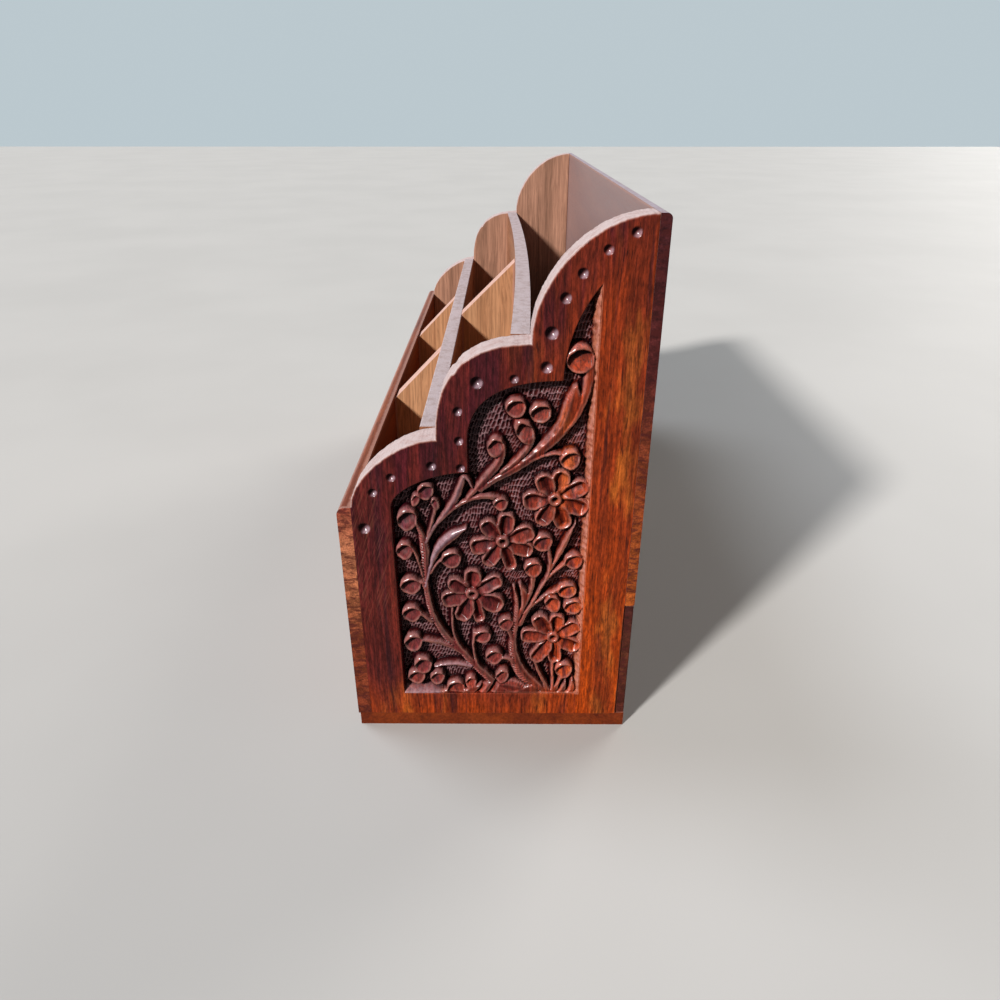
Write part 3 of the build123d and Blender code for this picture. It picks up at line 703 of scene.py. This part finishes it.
def node(tree, kind, *values, settings=None, **sockets):
    """A shader node with its settings, and with its inputs, in order or by name, set or linked."""
    made = tree.nodes.new("ShaderNode" + kind)
    for key, value in (settings or {}).items():
        setattr(made, key, value)
    feed(made, {**dict(enumerate(values)), **sockets})
    return made


def mixed(share, first, second, blend="MIX"):
    """Two colours mixed by a share."""
    tree = next(value.tree for value in (share, first, second) if isinstance(value, Wire))
    made = node(tree, "Mix", settings={"data_type": "RGBA", "blend_type": blend})
    feed(made, {0: share, 6: first, 7: second})
    return Wire(made.outputs[2])


def shared_group(name, inputs, build):
    """A shader node group, built the first time that it is asked for. Its inputs are given by name, with the kind
    of each socket, and `build` makes the outputs from them."""
    if name not in bpy.data.node_groups:
        tree = bpy.data.node_groups.new(name, "ShaderNodeTree")
        for kind, labels in inputs.items():
            for label in labels:
                tree.interface.new_socket(label, in_out="INPUT", socket_type="NodeSocket" + kind)
        made = build(outputs(tree.nodes.new("NodeGroupInput")))
        for label, wire in made.items():
            kind = "Color" if wire.socket.type == "RGBA" else "Float"
            tree.interface.new_socket(label, in_out="OUTPUT", socket_type="NodeSocket" + kind)
        feed(tree.nodes.new("NodeGroupOutput"), made)
    return bpy.data.node_groups[name]


def use_group(tree, group, **sockets):
    return outputs(node(tree, "Group", settings={"node_tree": group()}, **sockets))


def grain_group():
    """Wood grain along the vector's Z: broad bands, darker veins, fine fibres and short open pores."""
    def build(given):
        vector = given["Vector"]
        sway = vector.stretched(1, 1, 0.3).cloud(60.0)
        bent = sway.then("CombineXYZ", sway, sway, 0.0).vector("MULTIPLY_ADD", (0.006, 0.006, 0.0), vector)
        broad = bent.stretched(1, 1, 0.07).cloud(130.0, 3.0, 0.6)
        veins = bent.stretched(1, 1, 0.05).cloud(260.0, 4.0, 0.7)
        fibres = bent.stretched(1, 1, 0.035).cloud(1500.0, 3.0, 0.6)
        pores = bent.stretched(1, 1, 0.06).cloud(3400.0, 1.0, 0.5).rise(0.61, 0.72)
        tone = mixed(broad.rise(0.38, 0.62) * given["Band Amount"], given["Ground"], given["Band"])
        tone = mixed(veins.rise(0.54, 0.68) * given["Vein Amount"], tone, given["Vein"])
        tone = tone.lit(fibres.rise(0.25, 0.75, 0.72, 1.25))
        tone = mixed(pores * given["Pore Amount"], tone, (0.012, 0.004, 0.004))
        return {"Color": tone, "Height": pores.plus(-1.0, fibres * 0.7), "Fibre": fibres}

    return shared_group("Rack wood grain", {
        "Vector": ["Vector"], "Color": ["Ground", "Band", "Vein"],
        "Float": ["Band Amount", "Vein Amount", "Pore Amount"],
    }, build)


def sawn_group():
    """A rough sawn, worn top: pale dusty wood, blotched and ridged by the saw."""
    def build(given):
        vector = given["Vector"]
        specks = vector.cloud(2600.0, 3.0, 0.7)
        ridges = vector.stretched(1, 0.25, 1).cloud(1900.0, 2.0, 0.6)
        share = vector.cloud(420.0, 4.0, 0.7).rise(0.42, 0.68) * given["Stain Amount"]
        tone = mixed(share, given["Pale"], given["Stained"])
        tone = mixed(specks.rise(0.58, 0.72, 0.0, 0.35), tone, given["Stained"])
        return {"Color": tone, "Height": ridges.math("ADD", specks * 0.8)}

    return shared_group("Rack sawn top", {
        "Vector": ["Vector"], "Color": ["Pale", "Stained"], "Float": ["Stain Amount"],
    }, build)


def edge_group():
    """How near a point of a box-shaped board lies to one of its edges: 1 on the edge, 0 at the given width. Of
    the point's distances to the faces along X, Y and Z, the second smallest counts."""
    def build(given):
        vector, width = given["Vector"], given["Width"]
        x, y, z = vector.vector("SUBTRACT", given["Low"]).vector(
            "MINIMUM", given["High"].vector("SUBTRACT", vector)).parts()
        second = x.math("MINIMUM", y).most(x.most(y).math("MINIMUM", z))
        rough = vector.cloud(700.0, 3.0, 0.7) * width
        share = second.math("SUBTRACT", rough * 0.8).math("DIVIDE", width)
        return {"Mask": share.rise(0.0, 0.6, 1.0, 0.0)}

    return shared_group("Rack board edges", {"Vector": ["Vector", "Low", "High"], "Float": ["Width"]}, build)


def new_material(name):
    """A material with its Principled shader and its place on the object."""
    material = bpy.data.materials.new(name)
    material.use_nodes = True
    tree = material.node_tree
    tree.nodes.clear()
    shader = node(tree, "BsdfPrincipled", Specular_IOR_Level=0.04)
    node(tree, "OutputMaterial", Wire(shader.outputs[0]))
    return material, tree, shader, outputs(node(tree, "TexCoord"))["Object"]


def carved_wood():
    """The end boards' lacquered wood: dark red at the low side, orange at the tall side and along the bottom,
    purple under the scallops, pale on its sawn and worn edges, dull tan inside, with painted shade down in
    the carving and painted highlights and sheen on its crests and lit slopes."""
    name = "carved wood"
    if name in bpy.data.materials:
        return bpy.data.materials[name]
    finish = bpy.context.scene.rack_finish
    material, tree, shader, place = new_material(name)
    _, y, z = place.parts()
    marks = {m: outputs(node(tree, "Attribute", settings={"attribute_name": m}))["Fac"] for m in MARKS}
    sunk, grime = marks["sunk"], marks["grime"]

    # The colour drifts over the board from side to side and with height, and darkens in streaks at the top.
    drift = place.stretched(1, 1, 0.25).cloud(45.0)
    warm = drift.plus(0.022, y).rise(0.004, 0.042).most(drift.plus(0.01, z).rise(0.026, 0.008) * 0.8)
    ground = mixed(warm, finish.red, finish.orange)
    faded = mixed(drift.plus(0.04, z).rise(0.04, 0.1, 0.0, 0.6), ground, (0.2, 0.025, 0.009))
    ground = mixed(warm, ground, faded)
    patches = place.stretched(1, 1.6, 0.5).cloud(75.0, 3.0, 0.6).rise(0.5, 0.68, 0.0, 0.6)
    ground = mixed(patches * warm, ground, (0.58, 0.15, 0.022))
    dusk = drift.plus(0.03, y.plus(-1.35, z)).rise(0.094, 0.113, 0.0, 0.92)
    streaks = place.stretched(1, 1, 0.12).cloud(210.0, 3.0, 0.6).rise(0.4, 0.6, 0.35, 1.0)
    ground = mixed(dusk * streaks, ground, finish.purple)
    band = mixed(0.6, ground, (0.03, 0.006, 0.008))
    grain = use_group(tree, grain_group, Vector=place, Ground=ground, Band=band, Vein=(0.03, 0.008, 0.012),
                      Band_Amount=0.75, Vein_Amount=0.6, Pore_Amount=0.7)
    speckle = place.stretched(1, 1, 0.3).cloud(1300.0, 4.0, 0.8).rise(0.35, 0.65, 0.66, 1.4)
    tone = grain["Color"].lit(speckle * grain["Fibre"].rise(0.35, 0.65, 0.82, 1.22))

    # Down in the field the wood is painted a little darker and bluer throughout and much darker deeper down,
    # as shade; raised slopes facing the light are painted lighter, and painted shade goes near black in
    # creases, hollows, steep walls and the dimples' shaded sides.
    tone = mixed(sunk.rise(0.01, 0.07), tone, tone.tinted((0.76, 0.74, 1.1)))
    tone = mixed(sunk.rise(0.2, 0.9, 0.0, 0.9), tone, tone.tinted((0.5, 0.34, 0.42)))
    tone = tone.lit(marks["rub_wear_and_painted_light"].plus(0.8, 0.92))
    tone = mixed(grime * 0.88, tone, (0.009, 0.001, 0.002))

    # Scratches over a zone of the low side's border, worn edges that in the carving also carry painted
    # highlights, and a painted pale sheen that stands for reflections.
    slanted = place.then("Mapping", Vector=place, Rotation=(math.radians(20), 0.0, 0.0))
    lines = slanted.stretched(1, 1, 0.045).cloud(2400.0, 2.0, 0.6).rise(0.52, 0.66, 0.0, 0.4)
    zone = y.rise(-0.024, -0.027) * z.rise(0.03, 0.045) * z.rise(0.082, 0.07, 0.0, 0.3)
    tone = mixed(lines * zone, tone, finish.worn)
    ragged = place.cloud(900.0, 3.0, 0.7)
    edge = marks["worn"] * sunk.rise(0.0, 0.05, 1.0, 0.6) * ragged.rise(0.3, 0.6, 0.25, 0.8)
    tone = mixed(edge, tone, finish.worn)
    tone = mixed(marks["bloom"] * ragged.rise(0.25, 0.6, 0.35, 0.8), tone, finish.bloom)

    # The inner face and the sawn tops have woods of their own.
    inner = use_group(tree, grain_group, Vector=place, Ground=finish.inside, Band=(0.25, 0.13, 0.085),
                      Vein=(0.17, 0.08, 0.05), Band_Amount=0.75, Vein_Amount=0.25, Pore_Amount=0.15)
    top = use_group(tree, sawn_group, Vector=place, Pale=finish.sawn, Stained=(0.3, 0.13, 0.1), Stain_Amount=0.35)
    tone = mixed(marks["sawn"], mixed(marks["inside"], tone, inner["Color"]), top["Color"])
    height = marks["sawn"].plus(top["Height"] * SAWN_RELIEF, grain["Height"])
    dull = marks["sawn"].most(marks["inside"] * 0.6)
    rough = dull.plus(0.42, grain["Fibre"].plus(0.14, finish.roughness - 0.05), clamp=True)
    coat = dull.most(grime * 1.5, clamp=True).plus(-0.16, 0.16, clamp=True)
    feed(shader, {
        "Base Color": tone, "Roughness": rough, "Coat Weight": marks["gloss"].plus(0.85, coat, clamp=True),
        "Coat Roughness": 0.24, "Normal": height.bump(*WOOD_BUMP),
    })
    return material


def end_grain(place, ends, low, high):
    """Mottled end grain between two heights, whose colours change with height."""
    level = place.stretched(1, 1, 0.8).cloud(620.0, 4.0, 0.7).plus(0.012, list(place.parts())[2])
    share = level.then("MapRange", level, low + 0.006, high + 0.006)
    scale = node(place.tree, "ValToRGB", share)
    tints = scale.color_ramp.elements
    while len(tints) < len(ends):
        tints.new(0.5)
    for element, (position, tint) in zip(tints, ends):
        element.position = position
        element.color = (*tint, 1.0)
    cut = Wire(scale.outputs[0]).lit(place.stretched(1, 0.6, 1).cloud(420.0, 3.0, 0.7).rise(0.4, 0.64, 0.6, 1.4))
    cut = cut.lit(place.cloud(2300.0, 4.0, 0.8).rise(0.35, 0.65, 0.68, 1.35))
    spots = place.stretched(1, 0.3, 1).cloud(950.0, 4.0, 0.75).rise(0.46, 0.62, 0.0, 0.8)
    return mixed(spots, cut, (0.07, 0.012, 0.011))


def dress(cad_node, material):
    """A packed board keeps its shape and gets its finish."""
    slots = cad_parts[cad_node].data.materials
    slots.clear()
    slots.append(material)


def board(cad_node, along, ground, band, vein, amounts=(0.7, 0.4, 0.4), roughness=0.4, coat=0.2, top=None,
          ends=None, inner=None, edge_width=0.0009, edge_share=0.7, edge=(0.45, 0.24, 0.19)):
    """A straight board's finish: grain along one axis, pale worn edges, and, where given, a sawn pale top and
    end grain that changes with height."""
    material, tree, shader, place = new_material(cad_node.replace("_", " ") + " wood")
    turn = {"x": (0.0, math.radians(90), 0.0), "y": (math.radians(90), 0.0, 0.0), "z": (0.0, 0.0, 0.0)}[along]
    low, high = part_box(cad_node)
    turned = place.then("Mapping", Vector=place, Rotation=turn,
                        Location=(low.y * 3.1 + 0.2, high.z * 1.7, low.x * 0.9))
    grain = use_group(tree, grain_group, Vector=turned, Ground=ground, Band=band, Vein=vein,
                      Band_Amount=amounts[0], Vein_Amount=amounts[1], Pore_Amount=amounts[2])
    tone, height = grain["Color"], grain["Height"]
    rough = grain["Fibre"].plus(0.16, roughness - 0.06)
    x, y, z = outputs(node(tree, "NewGeometry"))["Normal"].parts()

    def on_end(*levels):
        return x.math("ABSOLUTE").rise(0.6, 0.8, *levels)

    if ends:
        tone = mixed(on_end(), tone, end_grain(place, ends, low.z, high.z))
    if inner:
        tone = mixed(y.rise(-0.6, -0.8, 0.0, 0.7), tone, inner)
    worn = use_group(tree, edge_group, Vector=place, Low=low, High=high, Width=edge_width)["Mask"]
    if along == "x":
        worn = worn * on_end(1.0, 0.0)
    tone = mixed(worn * edge_share, tone, edge)
    if top:
        sawn = use_group(tree, sawn_group, Vector=place, Pale=top[0], Stained=top[1], Stain_Amount=0.45)
        dull = z.rise(0.25, 0.55)
        tone = mixed(dull, tone, sawn["Color"])
        height = dull.plus(sawn["Height"] * SAWN_RELIEF, height)
        rough = dull.plus(0.4, rough, clamp=True)
        coat = dull.plus(-coat, coat, clamp=True)
    feed(shader, {"Base Color": tone, "Roughness": rough, "Coat Weight": coat, "Coat Roughness": 0.25,
                  "Normal": height.bump(*WOOD_BUMP)})
    dress(cad_node, material)


def metal(name, base, tarnish, roughness):
    """Handled metal: fine turning marks, dulled and darkened in cloudy patches."""
    material, tree, shader, place = new_material(name)
    patches = place.cloud(380.0, 4.0, 0.65)
    feed(shader, {
        "Base Color": mixed(patches.rise(0.45, 0.7, 0.0, 0.8), base, tarnish), "Metallic": 1.0,
        "Roughness": patches.rise(0.35, 0.75, roughness, roughness + 0.25),
        "Normal": place.stretched(1, 14, 1).cloud(900.0).bump(0.2, 0.00003),
    })
    return material


def amount(name, description, default, **kind):
    return FloatProperty(name=name, description=description, default=default, **kind)


def length(name, description, default):
    return amount(name, description, default, unit="LENGTH")


def factor(name, description, default):
    return amount(name, description, default, subtype="FACTOR", min=0, max=1)


def colour(name, description, default):
    return FloatVectorProperty(name=name, description=description, default=default, subtype="COLOR")


class RackCarving(bpy.types.PropertyGroup):
    """Sizes of the carved ends."""

    field_depth: length("Field depth", "How deep the carved field is sunk", 0.0030)
    grid_step: length("Grid step", "Spacing of the carving's points", 0.000215)
    wall: length("Wall run", "How far the side of a flower's boss spreads as it goes down", 0.00045)
    stem_level: length("Stem level", "Depth of the stems' crests under the face", 0.00045)
    petal_level: length("Petal level", "Depth of the petals' rims under the face", 0.00025)
    valley: length("Petal valley", "Depth of the cut along each petal", 0.0017)
    scoop: factor("Bud scoop", "Depth of a bud's hollow for each unit of radius", 0.8)
    punch_depth: length("Stroke depth", "Depth of the strokes in the field's floor", 0.0006)
    dimple_depth: length("Dimple depth", "Depth of a dimple that has a radius of one millimetre", 0.00075)
    arris: length("Scallop arris", "Radius of the scallops' worn outer edge", 0.00055)
    rim: length("Field rim", "Radius of the worn edge round the field", 0.00028)


class RackFinish(bpy.types.PropertyGroup):
    """Colours and gloss of the woods."""

    red: colour("Red wood", "Lacquered wood at the low side", (0.148, 0.019, 0.012))
    orange: colour("Orange wood", "Lacquered wood at the tall side", (0.4, 0.052, 0.004))
    purple: colour("Purple wood", "Streaks under the scallops", (0.068, 0.008, 0.013))
    # The worn colour marks real wear on edges and scratches, and in the carving also paints highlights on crests
    # and slopes facing the light.
    worn: colour("Worn edge", "Wood rubbed bare of its stain", (0.5, 0.17, 0.1))
    # The sheen colour is painted highlight and reflection: on the carving's lit crests and slopes, the floor's
    # ridges, some leaves and the dimples' lit sides.
    bloom: colour("Wax bloom", "Pale film on the carving's upper slopes", (0.4, 0.27, 0.32))
    sawn: colour("Sawn top", "Rough tops of the scallops", (0.5, 0.4, 0.39))
    inside: colour("Inside face", "Unlacquered inner faces", (0.42, 0.22, 0.145))
    roughness: factor("Lacquer roughness", "Roughness of the lacquered faces", 0.3)


class RackStage(bpy.types.PropertyGroup):
    """Camera, light and floor."""

    lens: amount("Lens", "Focal length on a 36 mm sensor", 27.0, subtype="DISTANCE_CAMERA")
    pitch: amount("Look down", "Camera's tilt below level", math.radians(27.334), subtype="ANGLE")
    camera_place: FloatVectorProperty(name="Camera", description="Where the camera stands",
                                      default=(0.29014, 0.0035, 0.15769), subtype="TRANSLATION")
    key_light: amount("Key light", "Strength of the main lamp", 4.5)
    fill: amount("Fill light", "Strength of the light from all round", 0.07)
    floor: colour("Floor", "Colour of the floor", (0.5, 0.485, 0.465))
    bounce: factor("Floor bounce", "Share of the floor's colour that lights the rack", 0.15)


class RACK_OT_end_boards(bpy.types.Operator):
    """Builds both scalloped end boards with their dimples and worn edges"""

    bl_idname = "rack.end_boards"
    bl_label = "End Boards"

    def execute(self, context):
        for side in SIDES:
            end_board(side, context.scene.rack_carving)
        return {"FINISHED"}


class RACK_OT_carvings(bpy.types.Operator):
    """Carves the flowers, buds and stems into both ends"""

    bl_idname = "rack.carvings"
    bl_label = "Carvings"

    def execute(self, context):
        sizes = context.scene.rack_carving
        field = carved_heights(sizes)
        for side in SIDES:
            carved_field(side, field, sizes)
        return {"FINISHED"}


class RACK_OT_long_boards(bpy.types.Operator):
    """Finishes the low front board, the tall back board, the base and the compartments' floor"""

    bl_idname = "rack.long_boards"
    bl_label = "Long Boards"

    def execute(self, context):
        red = dict(along="x", roughness=0.36, coat=0.16)
        board("front_panel", ground=(0.26, 0.065, 0.022), band=(0.12, 0.025, 0.014), vein=(0.05, 0.012, 0.012),
              edge_width=0.0014, edge_share=0.55,
              ends=[(0.0, (0.16, 0.03, 0.012)), (0.4, (0.21, 0.045, 0.018)), (0.6, (0.37, 0.115, 0.05)),
                    (0.82, (0.42, 0.145, 0.07)), (1.0, (0.27, 0.055, 0.032))], **red)
        board("back_panel", ground=(0.24, 0.08, 0.04), band=(0.12, 0.03, 0.02), vein=(0.06, 0.014, 0.014),
              edge_width=0.0008, edge_share=0.5, inner=(0.3, 0.215, 0.215),
              top=((0.36, 0.31, 0.35), (0.26, 0.17, 0.17)),
              ends=[(0.0, (0.34, 0.075, 0.014)), (0.3, (0.24, 0.05, 0.014)), (0.65, (0.08, 0.015, 0.014)),
                    (1.0, (0.045, 0.01, 0.012))], **red)
        board("base_board", ground=(0.21, 0.036, 0.008), band=(0.12, 0.018, 0.006), vein=(0.03, 0.006, 0.005),
              edge_width=0.0006, edge_share=0.3, **red)
        board("compartment_floor", "x", (0.3, 0.13, 0.065), (0.17, 0.06, 0.03), (0.08, 0.03, 0.02),
              roughness=0.5, coat=0.05)
        return {"FINISHED"}


class RACK_OT_dividers(bpy.types.Operator):
    """Finishes the two dividers and the three cross partitions with their sawn tops"""

    bl_idname = "rack.dividers"
    bl_label = "Dividers and Partitions"

    def execute(self, context):
        for cad_node in ("front_divider", "rear_divider"):
            board(cad_node, "x", (0.34, 0.15, 0.08), (0.2, 0.075, 0.04), (0.1, 0.035, 0.02),
                  roughness=0.48, coat=0.08, top=((0.48, 0.4, 0.41), (0.26, 0.17, 0.14)))
        for cad_node in ("front_partition_right", "front_partition_left", "middle_partition"):
            board(cad_node, "z", (0.52, 0.27, 0.14), (0.4, 0.185, 0.09), (0.24, 0.095, 0.045), (0.7, 0.35, 0.2),
                  roughness=0.46, coat=0.06, top=((0.6, 0.38, 0.32), (0.4, 0.2, 0.13)))
        return {"FINISHED"}


class RACK_OT_drawer(bpy.types.Operator):
    """Finishes the drawer's face, box and knob"""

    bl_idname = "rack.drawer"
    bl_label = "Drawer"

    def execute(self, context):
        board("drawer_face", "x", (0.15, 0.05, 0.026), (0.075, 0.024, 0.016), (0.035, 0.012, 0.01),
              roughness=0.42, coat=0.15, edge_width=0.0006, edge_share=0.45,
              ends=[(0.0, (0.07, 0.014, 0.009)), (0.5, (0.1, 0.026, 0.012)), (1.0, (0.05, 0.012, 0.01))])
        for cad_node, along in (("drawer_right_side", "y"), ("drawer_left_side", "y"),
                                ("drawer_inner_end", "x"), ("drawer_bottom", "x")):
            board(cad_node, along, (0.5, 0.3, 0.15), (0.38, 0.2, 0.09), (0.26, 0.12, 0.05), (0.6, 0.3, 0.2),
                  roughness=0.6, coat=0.0, edge=(0.6, 0.42, 0.26), edge_share=0.4)
        dress("drawer_knob", metal("knob brass", (0.72, 0.52, 0.22), (0.3, 0.19, 0.08), 0.24))
        return {"FINISHED"}


class RACK_OT_fixings(bpy.types.Operator):
    """Finishes the pins and screws"""

    bl_idname = "rack.fixings"
    bl_label = "Pins and Screws"

    def execute(self, context):
        steel = metal("pin steel", (0.45, 0.43, 0.41), (0.16, 0.12, 0.1), 0.38)
        for cad_node in ("front_panel_pins", "back_panel_pins", "base_screws", "knob_screw"):
            dress(cad_node, steel)
        return {"FINISHED"}


def seen_share(tree):
    """1 where the camera, a reflection or a glass looks, and 0 where light is gathered."""
    path = outputs(node(tree, "LightPath"))
    return path["Is Camera Ray"].most(path["Is Glossy Ray"]).most(path["Is Transmission Ray"])


def looking(spot, forward):
    """The place and turn of a lamp or camera that looks along a direction, level with the floor."""
    ahead = np.array(forward, float)
    ahead = ahead / np.linalg.norm(ahead)
    right = np.cross(ahead, (0.0, 0.0, 1.0))
    right = right / np.linalg.norm(right)
    turn = np.eye(4)
    turn[:3] = np.column_stack([right, np.cross(right, ahead), -ahead, spot])
    return Matrix(turn.tolist())


class RACK_OT_stage(bpy.types.Operator):
    """Sets the floor, the lamps, the surrounding light and the camera"""

    bl_idname = "rack.stage"
    bl_label = "Stage"

    def execute(self, context):
        stage = context.scene.rack_stage
        mesh = bpy.data.meshes.new("floor")
        reach = 4
        corners = [(-reach, -reach, 0), (reach, -reach, 0), (reach, reach, 0), (-reach, reach, 0)]
        mesh.from_pydata(corners, [], [(0, 1, 2, 3)])
        material, tree, shader, place = new_material("floor")
        shade = [c * 0.95 for c in stage.floor]
        dim = [c * stage.bounce for c in stage.floor]
        shown = mixed(place.cloud(6.0, 3.0).rise(0.3, 0.7), stage.floor, shade)
        feed(shader, {"Base Color": mixed(seen_share(tree), dim, shown), "Roughness": 0.55})
        mesh.materials.append(material)
        floor = placed("floor", mesh)
        for name, away, strength, spread, tone in (
            ("key lamp", (0.63, -0.57, 0.53), stage.key_light, 6.0, (1.0, 0.98, 0.96)),
            ("back lamp", (-0.7, 0.6, 0.4), stage.key_light * 0.35, 30.0, (1.0, 0.97, 0.93)),
            ("top lamp", (-0.25, -0.5, 0.83), stage.key_light * 0.3, 24.0, (0.84, 0.91, 1.0)),
        ):
            lamp = bpy.data.lights.new(name, "SUN")
            lamp.energy = strength
            lamp.angle = math.radians(spread)
            lamp.color = tone
            placed(name, lamp).matrix_world = looking(away, -np.array(away))
        world = bpy.data.worlds.new("surroundings")
        context.scene.world = world
        world.use_nodes = True
        tree = world.node_tree
        tree.nodes.clear()
        light = node(tree, "Background", Color=(0.93, 0.97, 1.0), Strength=stage.fill)
        shown = node(tree, "Background", Color=(0.5, 0.58, 0.62), Strength=1.0)
        both = node(tree, "MixShader", seen_share(tree), Wire(light.outputs[0]), Wire(shown.outputs[0]))
        node(tree, "OutputWorld", Wire(both.outputs[0]))
        lens = bpy.data.cameras.new("camera")
        lens.lens = stage.lens
        lens.sensor_width = 36.0
        lens.clip_start = 0.01
        camera = placed("camera", lens)
        down, aside = stage.pitch, -0.0052
        camera.matrix_world = looking(stage.camera_place, (-math.cos(down), aside, -math.sin(down)))
        context.scene.camera = camera
        context.scene.view_settings.view_transform = "Standard"
        return {"FINISHED"}


STEPS = (RACK_OT_end_boards, RACK_OT_carvings, RACK_OT_long_boards, RACK_OT_dividers, RACK_OT_drawer,
         RACK_OT_fixings, RACK_OT_stage)


class RACK_PT_sidebar(bpy.types.Panel):
    """The rack's steps and sizes"""

    bl_label = "Envelope Rack"
    bl_space_type = "VIEW_3D"
    bl_region_type = "UI"
    bl_category = "Rack"

    def draw(self, context):
        layout = self.layout
        for step in STEPS:
            layout.operator(step.bl_idname)
        for group in (context.scene.rack_carving, context.scene.rack_finish, context.scene.rack_stage):
            box = layout.box()
            for name in group.bl_rna.properties.keys():
                if name not in ("rna_type", "name"):
                    box.prop(group, name)


GROUPS = {"rack_carving": RackCarving, "rack_finish": RackFinish, "rack_stage": RackStage}
CLASSES = (*GROUPS.values(), *STEPS, RACK_PT_sidebar)


def register():
    for kind in CLASSES:
        bpy.utils.register_class(kind)
    for name, kind in GROUPS.items():
        setattr(bpy.types.Scene, name, PointerProperty(type=kind))


def unregister():
    for name in GROUPS:
        delattr(bpy.types.Scene, name)
    for kind in reversed(CLASSES):
        bpy.utils.unregister_class(kind)


def main():
    """Builds the pieces in order."""
    register()
    for step in STEPS:
        area, name = step.bl_idname.split(".")
        getattr(getattr(bpy.ops, area), name)()


if __name__ == "__main__":
    main()
